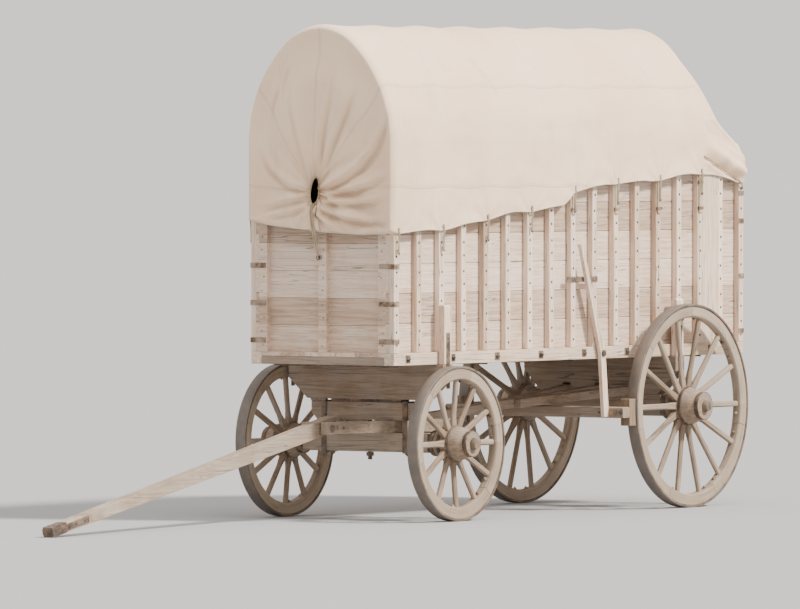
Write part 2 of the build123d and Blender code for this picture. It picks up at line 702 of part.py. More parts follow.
with BuildPart() as gate_straps:
    for hinge_y in HINGE_YS:
        strap_plane = Plane(origin=(0, hinge_y, 0), x_dir=(1, 0, 0), z_dir=(0, -1, 0))
        with BuildSketch(strap_plane):
            with Locations((GATE_AXIS_X, GATE_AXIS_Z)):
                Circle(KNUCKLE_R)
            with Locations((BOX_REAR - STRAP[0] / 2, GATE_AXIS_Z + STRAP[2] / 2)):
                Rectangle(STRAP[0], STRAP[2])
            with Locations((GATE_AXIS_X, GATE_AXIS_Z)):
                Circle(HINGE_PIN_R + SEAT, mode=Mode.SUBTRACT)
        extrude(amount=STRAP[1] / 2, both=True)
keep(gate_straps.part, "tailgate_straps")

with BuildPart() as gate_eyes:
    for hinge_y in HINGE_YS:
        for side in (1, -1):
            eye_y = hinge_y + side * (STRAP[1] / 2 + BEARING + EYE_WIDTH / 2)
            with BuildSketch(Plane(origin=(0, eye_y, 0), x_dir=(1, 0, 0), z_dir=(0, -1, 0))):
                with Locations((GATE_AXIS_X, GATE_AXIS_Z)):
                    Circle(KNUCKLE_R)
                block_x = (GATE_AXIS_X + BOX_REAR + SILL_SETBACK) / 2
                with Locations((block_x, GATE_AXIS_Z - EYE_TANG_TRIM)):
                    Rectangle(BOX_REAR + SILL_SETBACK - GATE_AXIS_X, 2 * (KNUCKLE_R - EYE_TANG_TRIM))
            extrude(amount=EYE_WIDTH / 2, both=True)
        with Locations((GATE_AXIS_X, hinge_y, GATE_AXIS_Z)):
            Cylinder(HINGE_PIN_R, STRAP[1] + 2 * BEARING + EYE_WIDTH / 2, rotation=(90, 0, 0))
keep(gate_eyes.part, "tailgate_eyes")


# Bows and cover share one outline: upright legs, round shoulders, a wider-swept top
def arch(at_x, half_width, top_radius, shoulder, spring, base):
    """The face under an arch of three arcs on two legs, closed along its base."""
    lean = radians(shoulder)
    side_radius = (half_width - top_radius * cos(lean)) / (1 - cos(lean))
    knee_y = half_width - side_radius * (1 - cos(lean))
    knee_z = spring + side_radius * sin(lean)
    mid_y = half_width - side_radius * (1 - cos(lean / 2))
    mid_z = spring + side_radius * sin(lean / 2)
    top_z = spring + (side_radius - top_radius) * sin(lean) + top_radius
    with BuildSketch(Plane(origin=(at_x, 0, 0), x_dir=(0, 1, 0), z_dir=(1, 0, 0))) as face:
        with BuildLine():
            Line((-half_width, base), (half_width, base))
            Line((half_width, base), (half_width, spring))
            ThreePointArc((half_width, spring), (mid_y, mid_z), (knee_y, knee_z))
            ThreePointArc((knee_y, knee_z), (0, top_z), (-knee_y, knee_z))
            ThreePointArc((-knee_y, knee_z), (-mid_y, mid_z), (-half_width, spring))
            Line((-half_width, spring), (-half_width, base))
        make_face()
    return face.sketch


BOW_OUTER = RIB_FACE + SEAT + BOW_THICK
COVER_INNER = BOW_OUTER + SEAT


def bow_arch(at_x, grow, base):
    """The bows' outline, grown outwards by a few millimetres."""
    return arch(at_x, BOW_OUTER + grow, TOP_RADIUS + grow, SHOULDER, SPRING, base)


def rear_arch(at_x, inset, base):
    """The low outline that the cover is drawn down to behind the last bow."""
    half_width = COVER_INNER + CANVAS - inset
    return arch(at_x, half_width, REAR_TOP_RADIUS - inset, REAR_SHOULDER, REAR_SPRING, base)


with BuildPart() as bows:
    for bow_x in BOW_XS:
        start = bow_x - BOW_WIDTH / 2
        extrude(bow_arch(start, 0, BOW_FOOT), amount=BOW_WIDTH)
        extrude(bow_arch(start, -BOW_THICK, BOW_FOOT), amount=BOW_WIDTH, mode=Mode.SUBTRACT)
keep(bows.part, "bows")

COVER_FRONT = BOX_FRONT + COVER_AHEAD
COVER_REAR = BOX_REAR - COVER_BEHIND
SLOPE_START = BOW_XS[-1] - BOW_WIDTH / 2
COVER_BASE = HEM_FRONT - HEM_TO_BASE
with BuildPart() as cover_space:
    extrude(bow_arch(SLOPE_START, SEAT, COVER_BASE), amount=COVER_FRONT - CANVAS - SLOPE_START)
    inner_edges = cover_space.faces().sort_by(Axis.X)[-1].edges().filter_by(Axis.Y, reverse=True)
    fillet(inner_edges, COVER_EDGE_R - CANVAS)
    loft(
        sections=[
            bow_arch(SLOPE_START, SEAT, COVER_BASE),
            rear_arch(COVER_REAR + CANVAS, CANVAS, COVER_BASE),
        ],
        ruled=True,
    )

with BuildPart() as canvas:
    extrude(bow_arch(SLOPE_START, SEAT + CANVAS, COVER_BASE), amount=COVER_FRONT - SLOPE_START)
    outer_edges = canvas.faces().sort_by(Axis.X)[-1].edges().filter_by(Axis.Y, reverse=True)
    fillet(outer_edges, COVER_EDGE_R)
    loft(
        sections=[
            bow_arch(SLOPE_START, SEAT + CANVAS, COVER_BASE),
            rear_arch(COVER_REAR, 0, COVER_BASE),
        ],
        ruled=True,
    )
    add(cover_space.part, mode=Mode.SUBTRACT)
    with BuildSketch(Plane(origin=(0, 0, 0), x_dir=(1, 0, 0), z_dir=(0, -1, 0))):
        with BuildLine():
            Polyline(
                (COVER_FRONT + HEM_SLACK, HEM_FRONT),
                (COVER_REAR - HEM_SLACK, HEM_REAR),
                (COVER_REAR - HEM_SLACK, COVER_BASE - HEM_SLACK),
                (COVER_FRONT + HEM_SLACK, COVER_BASE - HEM_SLACK),
                close=True,
            )
        make_face()
    extrude(amount=2 * COVER_INNER, both=True, mode=Mode.SUBTRACT)
    with Locations((COVER_REAR, REAR_HOLE[0], REAR_HOLE[1])):
        Cylinder(REAR_HOLE[2], 6 * CANVAS, rotation=(0, 90, 0), mode=Mode.SUBTRACT)
    with BuildSketch(Plane(origin=(COVER_FRONT, 0, 0), x_dir=(0, 1, 0), z_dir=(1, 0, 0))):
        with BuildLine():
            Polyline([(FRONT_HOLE[0] + v, FRONT_HOLE[1] + w) for v, w in FRONT_HOLE_OUTLINE], close=True)
        make_face()
    extrude(amount=3 * CANVAS, both=True, mode=Mode.SUBTRACT)

# The drawn-up flat of the front end is kept apart from the long sheet behind it
END_SEAM = Plane(origin=(COVER_FRONT - CANVAS, 0, 0), x_dir=(0, 1, 0), z_dir=(1, 0, 0))
with BuildPart() as cover:
    add(canvas.part)
    split(bisect_by=END_SEAM, keep=Keep.BOTTOM)
keep(cover.part, "cover")

# It is sewn from three widths, their seams level with the straight sides of the hole
FRONT_SEAMS = [FRONT_HOLE[1] + FRONT_HOLE_OUTLINE[1][1], FRONT_HOLE[1] + FRONT_HOLE_OUTLINE[2][1]]
with BuildPart() as cover_front:
    add(canvas.part)
    split(bisect_by=END_SEAM, keep=Keep.TOP)
    for seam_z in FRONT_SEAMS:
        across = (-COVER_INNER - CANVAS, COVER_INNER + CANVAS)
        seam_gap = (seam_z - SEAT / 2, seam_z + SEAT / 2)
        block((COVER_FRONT - 2 * CANVAS, COVER_FRONT + CANVAS), across, seam_gap, mode=Mode.SUBTRACT)
keep(cover_front.part, "cover_front")

# Tongue, hinged between the hounds, its tip on the ground
TONGUE_SIDE = Plane(
    origin=(HINGE_X, 0, HINGE_Z),
    x_dir=(cos(TONGUE_SLOPE), 0, -sin(TONGUE_SLOPE)),
    z_dir=(0, -1, 0),
)
WOOD_END = TONGUE_LENGTH - TIP_IRON
with BuildPart() as tongue:
    with BuildSketch(TONGUE_SIDE):
        with BuildLine():
            Polyline(
                (-TONGUE_BUTT, -BUTT_HEIGHT / 2),
                (TONGUE_BUTT, -BUTT_HEIGHT / 2),
                (WOOD_END, -TIP_HEIGHT / 2),
                (WOOD_END, TIP_HEIGHT / 2),
                (TONGUE_BUTT, BUTT_HEIGHT / 2),
                (-TONGUE_BUTT, BUTT_HEIGHT / 2),
                close=True,
            )
        make_face()
        Circle(TONGUE_PIN_R + SEAT, mode=Mode.SUBTRACT)
    extrude(amount=TONGUE_WIDTH / 2, both=True)
keep(tongue.part, "tongue")

with BuildPart() as tongue_iron:
    with BuildSketch(TONGUE_SIDE):
        with BuildLine():
            Polyline(
                (WOOD_END, -TIP_HEIGHT / 2),
                (TONGUE_LENGTH, -TIP_HEIGHT / 2),
                (TONGUE_LENGTH, TIP_HEIGHT / 2),
                (WOOD_END, TIP_HEIGHT / 2),
                close=True,
            )
        make_face()
    extrude(amount=TONGUE_WIDTH / 2, both=True)
    with BuildSketch(TONGUE_SIDE):
        with Locations((TONGUE_LENGTH - SIDE_STRAP[0] / 2, 0)):
            Rectangle(SIDE_STRAP[0], SIDE_STRAP[1])
    extrude(amount=TONGUE_WIDTH / 2 + SIDE_STRAP[2], both=True)
    with BuildSketch(TONGUE_SIDE):
        with Locations(((WOOD_END - SIDE_STRAP[0]) / 2, 0)):
            Rectangle(WOOD_END + SIDE_STRAP[0], BUTT_HEIGHT)
    extrude(amount=TONGUE_WIDTH / 2, both=True, mode=Mode.SUBTRACT)
    with BuildSketch(Plane(
        origin=TONGUE_SIDE.from_local_coords(Vector(TONGUE_LENGTH - TIP_HOLE_BACK, 0, 0)),
        x_dir=(0, 1, 0),
        z_dir=(sin(TONGUE_SLOPE), 0, cos(TONGUE_SLOPE)),
    )):
        Circle(TIP_HOLE_R)
    extrude(amount=TIP_HEIGHT, both=True, mode=Mode.SUBTRACT)
keep(tongue_iron.part, "tongue_iron")

# Brake: a beam with two blocks hung under the box, and the lever that pushes it
BLOCK_X = REAR_X + REAR_WHEEL_D / 2
BEAM_X = BLOCK_X + BRAKE_BLOCK[0] + BRAKE_GAP
BRAKE_TOP = BRAKE_BEAM_Z + BRAKE_BEAM[2]
with BuildPart() as brake_beam:
    block(
        (BEAM_X, BEAM_X + BRAKE_BEAM[0]),
        (-BRAKE_BEAM[1] / 2, BRAKE_BEAM[1] / 2),
        (BRAKE_BEAM_Z, BRAKE_TOP),
    )
    chamfer(brake_beam.edges().filter_by(Axis.Y), 8)
keep(brake_beam.part, "brake_beam")

with BuildPart() as brake_blocks:
    block_mid = (BRAKE_BEAM_Z + BRAKE_TOP) / 2
    for side in (1, -1):
        block(
            (BLOCK_X - BRAKE_GAP, BEAM_X),
            (side * (TRACK / 2 - BRAKE_BLOCK[1] / 2), side * (TRACK / 2 + BRAKE_BLOCK[1] / 2)),
            (block_mid - BRAKE_BLOCK[2] / 2, block_mid + BRAKE_BLOCK[2] / 2),
        )
    with Locations((REAR_X, 0, REAR_AXLE_Z)):
        Cylinder(REAR_WHEEL_D / 2 + BRAKE_GAP, 2 * TRACK, rotation=(90, 0, 0), mode=Mode.SUBTRACT)
keep(brake_blocks.part, "brake_blocks")

HANGER_X = BEAM_X + BRAKE_BEAM[0] / 2
LEVER_YS = (RIB_FACE + LEVER_OFF, RIB_FACE + LEVER_OFF + LEVER_THICK)
PIVOT_X = BEAM_X + BRAKE_BEAM[0] + SEAT + LEVER_WIDTH / 2 + PIVOT_AHEAD
with BuildPart() as brake_irons:
    for side in (1, -1):
        block(
            (HANGER_X - HANGER[0] / 2, HANGER_X + HANGER[0] / 2),
            (side * HANGER_Y, side * (HANGER_Y + HANGER[1])),
            (BRAKE_TOP, BOLSTER_TOP),
        )
    with BuildSketch(Plane(origin=(PIVOT_X, RIB_FACE, PIVOT_Z), x_dir=(1, 0, 0), z_dir=(0, 1, 0))):
        Circle(PIVOT_R)
    extrude(amount=LEVER_OFF + LEVER_THICK + PIVOT_PROUD)
    head_base = (PIVOT_X, LEVER_YS[1] + BEARING, PIVOT_Z)
    with BuildSketch(Plane(origin=head_base, x_dir=(1, 0, 0), z_dir=(0, 1, 0))):
        Circle(PIVOT_HEAD[0])
    extrude(amount=PIVOT_HEAD[1])
keep(brake_irons.part, "brake_irons")

with BuildPart() as brake_lever:
    heel = BEAM_X + BRAKE_BEAM[0] + SEAT
    with BuildSketch(Plane(origin=(0, LEVER_YS[0], 0), x_dir=(1, 0, 0), z_dir=(0, -1, 0))):
        with BuildLine():
            Polyline(
                (heel, BRAKE_BEAM_Z + LEVER_HEEL),
                (heel + LEVER_WIDTH, BRAKE_BEAM_Z + LEVER_HEEL),
                (PIVOT_X + LEVER_WIDTH / 2 + LEVER_CHEEK, PIVOT_Z),
                (PIVOT_X + LEVER_TOP[0], LEVER_TOP[1]),
                (PIVOT_X + LEVER_TOP[0] - LEVER_TIP, LEVER_TOP[1]),
                (PIVOT_X - LEVER_WIDTH / 2, PIVOT_Z),
                (heel, BRAKE_TOP + LEVER_HEEL),
                close=True,
            )
        make_face()
        with Locations((PIVOT_X, PIVOT_Z)):
            Circle(PIVOT_R + SEAT, mode=Mode.SUBTRACT)
    extrude(amount=-LEVER_THICK)
keep(brake_lever.part, "brake_lever")

# The toothed rack that the lever's iron dog catches in, bolted to two ribs
RACK_FROM = PIVOT_X + LEVER_WIDTH / 2
RACK_TEETH = int(RACK[0] / RACK_TOOTH[0])
with BuildPart() as brake_rack:
    with BuildSketch(Plane(origin=(RACK_FROM, RIB_FACE + SEAT, RACK_Z), x_dir=(1, 0, 0), z_dir=(0, -1, 0))):
        with BuildLine():
            teeth = []
            for i in range(RACK_TEETH):
                teeth.append((i * RACK_TOOTH[0], RACK[1]))
                teeth.append((i * RACK_TOOTH[0] + RACK_TOOTH[0] / 2, RACK[1] - RACK_TOOTH[1]))
            Polyline([(0, 0), *teeth, (RACK_TEETH * RACK_TOOTH[0], RACK[1]), (RACK[0], 0)], close=True)
        make_face()
    extrude(amount=-RACK[2])
keep(brake_rack.part, "brake_rack")

print("king bolt x", round(KING_X, 2), "rear axle x", round(REAR_X, 2))
print("box", round(BOX_REAR, 2), round(BOX_FRONT, 2), "floor", FLOOR_TOP, "side top", SIDE_TOP)
print("tongue hinge", round(HINGE_X, 2), HINGE_Z, "slope", round(degrees(TONGUE_SLOPE), 3))
print("gate axis", round(GATE_AXIS_X, 2), GATE_AXIS_Z, "reach slope", round(degrees(REACH_SLOPE), 3))
tip = TONGUE_SIDE.from_local_coords(Vector(TONGUE_LENGTH - TIP_HOLE_BACK, TIP_HEIGHT / 2, 0))
print("tongue tip hole mouth", tip)
coupling = REACH_PLANE.from_local_coords(Vector(REACH_LENGTH - COUPLING_FROM_END, 0, REACH_HEIGHT))
print("coupling hole mouth", coupling)
print("cover", round(COVER_REAR, 2), round(COVER_FRONT, 2), "last bow", round(BOW_XS[-1], 2))
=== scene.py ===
# %% [markdown]
# # Dressing a covered freight wagon
# The frame holds the wagon's timbers, wheels and irons at their real size. This lesson
# gives them weathered surfaces, bends a canvas sheet over the bows, and adds the bolts,
# nails, straps and ropes that hold such a wagon together.

# %% Load the frame
from math import cos, hypot, pi, radians, sin
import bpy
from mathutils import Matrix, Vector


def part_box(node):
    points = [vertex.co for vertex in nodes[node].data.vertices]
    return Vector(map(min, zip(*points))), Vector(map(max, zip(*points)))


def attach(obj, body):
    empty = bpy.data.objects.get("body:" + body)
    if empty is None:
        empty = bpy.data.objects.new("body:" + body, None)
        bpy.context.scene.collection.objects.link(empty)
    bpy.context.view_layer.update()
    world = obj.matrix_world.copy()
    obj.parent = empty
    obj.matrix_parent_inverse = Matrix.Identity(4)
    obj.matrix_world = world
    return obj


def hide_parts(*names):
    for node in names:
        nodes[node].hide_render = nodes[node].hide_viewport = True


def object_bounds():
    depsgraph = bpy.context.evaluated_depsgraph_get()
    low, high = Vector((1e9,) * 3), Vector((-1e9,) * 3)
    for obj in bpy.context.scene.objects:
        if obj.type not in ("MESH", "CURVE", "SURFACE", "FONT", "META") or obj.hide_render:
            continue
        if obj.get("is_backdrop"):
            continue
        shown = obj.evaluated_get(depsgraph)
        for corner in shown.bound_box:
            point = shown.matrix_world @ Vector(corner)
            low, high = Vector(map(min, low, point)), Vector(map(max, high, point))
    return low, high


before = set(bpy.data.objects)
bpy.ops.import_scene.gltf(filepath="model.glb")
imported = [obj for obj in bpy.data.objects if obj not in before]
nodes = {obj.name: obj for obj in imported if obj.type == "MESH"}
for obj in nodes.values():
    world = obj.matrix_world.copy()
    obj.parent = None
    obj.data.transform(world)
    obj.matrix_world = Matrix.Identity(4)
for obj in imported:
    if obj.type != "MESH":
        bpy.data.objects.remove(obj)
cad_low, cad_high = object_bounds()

from types import SimpleNamespace

import bpy
import numpy as np
from mathutils import Vector, noise

print("frame box", [round(v, 3) for v in cad_high - cad_low], "nodes", len(nodes))

# %% [markdown]
# Everything else is placed from a few measures of the frame: where the box begins and
# ends, how high its sides are, and the pitch of its ribs. Reading them from the frame
# keeps the dressing on the wagon if the wagon changes. A box of the frame is the lowest
# and the highest corner of a piece.

# %% Measures of the wagon
box_low, box_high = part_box("side_boards_left")
gate_low, gate_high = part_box("tailgate")
end_low, end_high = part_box("front_end")
bow_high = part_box("bows")[1]

BOX_FRONT, BOX_REAR = box_high.x, box_low.x
FLOOR_TOP, SIDE_TOP = box_low.z, box_high.z
RIB_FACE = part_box("ribs_left")[1].y
SILL_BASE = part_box("side_sills")[0].z
RIB_COUNT, RIB_WIDTH = 17, 0.062
RIB_PITCH = (BOX_FRONT - BOX_REAR - RIB_WIDTH) / (RIB_COUNT - 1)
RIB_XS = [BOX_FRONT - RIB_WIDTH / 2 - i * RIB_PITCH for i in range(RIB_COUNT)]
BOW_XS = RIB_XS[0:15:2]
BOW_PITCH = BOW_XS[0] - BOW_XS[1]
SIDE_BOARDS, END_BOARDS = 6, 5
BOARD_PITCH = (SIDE_TOP - FLOOR_TOP) / SIDE_BOARDS
FRONT_PITCH = (end_high.z - end_low.z) / END_BOARDS
GATE_PITCH = (gate_high.z - gate_low.z) / END_BOARDS

# for each pair of wheels the place of its axle, its radius and its number of spokes
WHEELS = {}
for end, spokes in (("front", 12), ("rear", 14)):
    tyre_low, tyre_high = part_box(f"wheel_{end}_left_tyre")
    WHEELS[end] = ((tyre_high.x + tyre_low.x) / 2, (tyre_high.z - tyre_low.z) / 2, spokes)
FRONT_X, REAR_X = WHEELS["front"][0], WHEELS["rear"][0]
# front and rear wheels run in the same track
HALF_TRACK = (tyre_low.y + tyre_high.y) / 2
print("box x", round(BOX_REAR, 3), round(BOX_FRONT, 3), "ribs every", round(RIB_PITCH, 4))
print("wheels", WHEELS, "half track", round(HALF_TRACK, 3))

# %% [markdown]
# ## Shader maths that reads as maths
# A node tree is a formula. Wrapping a socket in a small class lets Python's own operators
# add the Math nodes, so that `1 - mask` or `grain * 0.4 + 0.2` can be read at a glance.

# %% A wire
class Wire:
    """One value in a node tree. Its operators add Math nodes."""

    def __init__(self, finish, socket):
        self.finish, self.socket = finish, socket

    def maths(self, operation, first, second=0.0):
        return self.finish.node("Math", {"operation": operation}, {0: first, 1: second})

    def __add__(self, other):
        return self.maths("ADD", self, other)

    __radd__ = __add__

    def __sub__(self, other):
        return self.maths("SUBTRACT", self, other)

    def __rsub__(self, other):
        return self.maths("SUBTRACT", other, self)

    def __mul__(self, other):
        return self.maths("MULTIPLY", self, other)

    __rmul__ = __mul__

    def __truediv__(self, other):
        return self.maths("DIVIDE", self, other)

    def __pow__(self, other):
        return self.maths("POWER", self, other)

    def floor(self):
        return self.maths("FLOOR", self)

    def size(self):
        return self.maths("ABSOLUTE", self)

    def sine(self):
        return self.maths("SINE", self)


print("a wire takes + - * / and **, and knows floor, size and sine")

# %% [markdown]
# A finish is a material while it is being made. One method adds every kind of node, and
# the short ones after it name the few nodes that this wagon's surfaces are built from.

# %% A finish
class Finish:
    """A material while it is being made."""

    def __init__(self, name):
        self.material = bpy.data.materials.new(name)
        self.material.use_nodes = True
        self.tree = self.material.node_tree
        self.tree.nodes.clear()

    def node(self, kind, settings=None, inputs=None, output=0):
        """Adds a node, sets it up, fills its sockets and gives one of its outputs."""
        made = self.tree.nodes.new("ShaderNode" + kind)
        for name, value in (settings or {}).items():
            setattr(made, name, value)
        for key, value in (inputs or {}).items():
            if isinstance(value, Wire):
                self.tree.links.new(value.socket, made.inputs[key])
            else:
                made.inputs[key].default_value = value
        return Wire(self, made.outputs[output]) if made.outputs else None

    def place(self):
        """The point of the surface, in metres, in the wagon's own frame."""
        return self.node("TexCoord", output="Object")

    def axes(self, vector):
        split = self.node("SeparateXYZ", None, {0: vector})
        return [Wire(self, socket) for socket in split.socket.node.outputs]

    def vector(self, x, y, z):
        return self.node("CombineXYZ", None, {0: x, 1: y, 2: z})

    def scaled(self, vector, scale):
        return self.node("VectorMath", {"operation": "MULTIPLY"}, {0: vector, 1: scale})

    def moved(self, vector, offset):
        return self.node("VectorMath", {"operation": "ADD"}, {0: vector, 1: offset})

    def noise(self, vector, scale=1.0, detail=3.0, rough=0.5, warp=0.0):
        sockets = {"Vector": vector, "Scale": scale, "Detail": detail, "Roughness": rough}
        return self.node("TexNoise", None, {**sockets, "Distortion": warp})

    def chance(self, value):
        """A number from 0 to 1 that is the same wherever value is the same."""
        return self.node("TexWhiteNoise", {"noise_dimensions": "1D"}, {"W": value})

    def ramp(self, value, low, high):
        """0 below low, 1 above high and smooth between; low may be the larger."""
        sockets = {"Value": value, "From Min": low, "From Max": high}
        return self.node("MapRange", {"interpolation_type": "SMOOTHSTEP"}, sockets)

    def mix(self, factor, first, second):
        """The first colour where factor is 0, the second where it is 1."""
        first = first if isinstance(first, Wire) else (*first, 1.0)
        second = second if isinstance(second, Wire) else (*second, 1.0)
        return self.node("Mix", {"data_type": "RGBA"}, {0: factor, 6: first, 7: second}, output=2)

    def shade(self, colour, amount):
        """A colour made lighter or darker by a factor near 1."""
        return self.scaled(colour, self.vector(amount, amount, amount))

    def worn_edge(self, radius):
        """1 along the sharp edges of a piece, from how far a rounded normal leans."""
        sockets = {
            0: self.node("NewGeometry", output="Normal"),
            1: self.node("Bevel", {"samples": 4}, {"Radius": radius}),
        }
        lean = self.node("VectorMath", {"operation": "DOT_PRODUCT"}, sockets, output="Value")
        return self.ramp(1 - lean, 0.02, 0.22)

    def finish(self, colour, roughness, height=None, depth=0.001, **constants):
        """Ends the tree with one Principled shader; constants are set on its own sockets."""
        sockets = {"Base Color": colour, "Roughness": roughness}
        sockets.update({name.replace("_", " "): value for name, value in constants.items()})
        if height is not None:
            bump = {"Strength": 1.0, "Distance": depth, "Height": height}
            sockets["Normal"] = self.node("Bump", None, bump)
        shader = self.node("BsdfPrincipled", None, sockets)
        self.node("OutputMaterial", None, {"Surface": shader})
        return self.material


print("finishes can be made")

# %% [markdown]
# ## Weathered wood
# A wagon's timbers stand outdoors for years. Sun bleaches them to a pale, warm grey, the
# soft growth wears away so that the hard grain stands up, long checks open along the
# grain, and dust settles low down. The grain runs along the timber, so the pattern is
# noise that is stretched a few dozen times along one axis. Each board comes from another
# tree, so a number worked out from the board's place shifts its pattern and its shade.

# %% Wood finish
AXES = "xyz"
# repeats per metre across the grain and along it
FIGURE, FIBRE, CHECKS = (46.0, 2.2), (420.0, 14.0), (34.0, 0.9)
LOW_DUST = (0.50, 0.42, 0.33)


def streaks(finish, point, along, repeats, detail, rough, warp=0.0):
    """Noise that is stretched along one axis."""
    scale = [repeats[0]] * 3
    scale[AXES.index(along)] = repeats[1]
    return finish.noise(finish.scaled(point, tuple(scale)), 1, detail, rough, warp)


def wood_pattern(finish, point, along, board, tones, low_dust=0.0):
    """Colour, roughness and height of weathered wood whose grain runs along one axis."""
    pale, dark = tones
    shift = finish.chance(board)
    point = finish.moved(point, finish.vector(shift * 7.0, shift * 5.0, shift * 11.0))
    figure = streaks(finish, point, along, FIGURE, 5, 0.6, 0.9)
    fibre = streaks(finish, point, along, FIBRE, 2, 0.6)
    check_at = streaks(finish, point, along, CHECKS, 1, 0.4, 0.4)
    patch = finish.noise(point, 3.1, 3, 0.6)
    split = finish.ramp((check_at - 0.5).size(), 0.012, 0.003) * finish.ramp(patch, 0.46, 0.58)
    weather = finish.ramp(patch + (shift - 0.5) * 0.25, 0.34, 0.68)
    grain = finish.ramp(figure, 0.34, 0.66)
    colour = finish.mix(grain * 0.62 + fibre * 0.3, pale, dark)
    bleached = tuple(0.55 * c + 0.45 * sum(pale) / 3 * 1.12 for c in pale)
    colour = finish.mix(weather * 0.55, colour, bleached)
    colour = finish.shade(colour, shift * 0.34 + 0.83)
    colour = finish.mix(split * 0.62, colour, tuple(0.30 * c for c in dark))
    edge = finish.worn_edge(0.006)
    colour = finish.mix(edge * 0.45, colour, tuple(min(1.0, 1.25 * c) for c in pale))
    if low_dust:
        height = finish.axes(finish.place())[2]
        dusty = finish.ramp(height, low_dust, 0.0) * finish.ramp(patch, 0.2, 0.7)
        colour = finish.mix(dusty * 0.7, colour, LOW_DUST)
    relief = 0.55 * grain + 0.45 * fibre - split * 1.6
    return colour, 0.78 + 0.16 * fibre, 1 - relief


def timber(name, along, row_axis, start, pitch, tones, low_dust=0.0):
    """A finish for boards or ribs that follow each other along one axis."""
    finish = Finish(name)
    point = finish.place()
    board = ((finish.axes(point)[AXES.index(row_axis)] - start) / pitch).floor()
    colour, rough, height = wood_pattern(finish, point, along, board, tones, low_dust)
    return finish.finish(colour, rough, height, 0.0022, Specular_IOR_Level=0.25)


# the pale and the dark tone of each kind of wood
PLANK = ((0.74, 0.555, 0.42), (0.37, 0.25, 0.175))
RIB = ((0.85, 0.65, 0.485), (0.41, 0.30, 0.215))
GEAR = ((0.33, 0.245, 0.175), (0.145, 0.10, 0.067))
WHEEL = ((0.345, 0.255, 0.18), (0.155, 0.105, 0.07))
BOW = ((0.62, 0.50, 0.36), (0.34, 0.24, 0.15))
BRAKE = ((0.30, 0.22, 0.15), (0.12, 0.08, 0.05))

# the grain's axis, the axis that the boards follow each other along, where they start,
# their pitch, the tones, and how high the dust reaches
WOODS = {
    "side_boards_wood": ("x", "z", FLOOR_TOP, BOARD_PITCH, PLANK),
    "rib_wood": ("z", "x", BOX_FRONT + 0.001, -RIB_PITCH, RIB),
    "front_end_wood": ("y", "z", end_low.z, FRONT_PITCH, PLANK),
    "tailgate_wood": ("y", "z", gate_low.z, GATE_PITCH, PLANK),
    "floor_wood": ("x", "y", -0.6, 0.22, PLANK),
    "sill_wood": ("x", "y", -2.0, 2.0, RIB),
    "cross_timber_wood": ("y", "x", -10.0, 1.0, GEAR, 0.9),
    "upright_wood": ("z", "x", -10.0, 1.1, RIB, 0.8),
    "long_timber_wood": ("x", "y", -2.1, 4.0, GEAR, 0.9),
    "bow_wood": ("z", "x", BOX_FRONT + 0.1, -RIB_PITCH, BOW),
    "brake_block_wood": ("z", "y", -2.0, 2.0, BRAKE, 0.9),
}
wood = {name: timber(name, *row) for name, row in WOODS.items()}
print("wood finishes", len(wood))

# %% [markdown]
# A wheel's grain doesn't follow the wagon's axes: it runs out along each spoke and round
# each felloe. Turning the point into a distance from the axle, an angle and a width gives
# every spoke its own straight grain, whatever way it points.

# %% Wheel wood
DRY_MUD = (0.44, 0.36, 0.275)


def round_the_axle(finish, axle_x, axle_z):
    """Distance from the axle, the angle round it and the place across the wheel."""
    x, y, z = finish.axes(finish.place())
    x, z = x - axle_x, z - axle_z
    distance = (x * x + z * z) ** 0.5
    angle = finish.node("Math", {"operation": "ARCTAN2"}, {0: z, 1: x})
    return distance, angle, y


def wheel_timber(name, axle_x, radius, spokes, part):
    finish = Finish(name)
    distance, angle, width = round_the_axle(finish, axle_x, radius)
    turn = angle / (2 * pi) * spokes
    if part == "spokes":
        board = (turn + 0.5).floor()
        point, along = finish.vector((turn - board) * 0.3, width, distance), "z"
    elif part == "felloes":
        board = (turn / 2 + 0.25).floor()
        point, along = finish.vector(angle * radius, width, distance), "x"
    else:
        board = 0.0
        point, along = finish.vector(angle * 0.12, width, distance), "y"
    colour, rough, height = wood_pattern(finish, point, along, board, WHEEL)
    patch = finish.noise(finish.place(), 5.0, 4, 0.6)
    mud = finish.ramp(distance / radius + (patch - 0.5) * 0.5, 0.55, 1.05)
    colour = finish.mix(mud * 0.5, colour, DRY_MUD)
    return finish.finish(colour, rough, height, 0.002, Specular_IOR_Level=0.25)


wheel_wood = {}
for end, (axle_x, radius, spokes) in WHEELS.items():
    for part in ("hub", "spokes", "felloes"):
        wheel_wood[end, part] = wheel_timber(f"{end}_{part}_wood", axle_x, radius, spokes, part)
print("wheel finishes", len(wheel_wood))

# %% [markdown]
# ## Forged iron
# The smith's iron leaves the forge black, then rusts to a dry brown in patches and is
# rubbed to dull metal along its edges. A tyre is different: rolling polishes its tread,
# and dust stays on its sides.

# %% Iron finishes
FORGE_BLACK, RUST, RUBBED = (0.060, 0.048, 0.040), (0.155, 0.082, 0.045), (0.26, 0.22, 0.19)
IRON_DUST = (0.50, 0.41, 0.32)
TYRE_BLACK, TYRE_RUST = (0.085, 0.066, 0.053), (0.155, 0.098, 0.064)
POLISHED, TYRE_DUST = (0.165, 0.15, 0.137), (0.30, 0.245, 0.19)


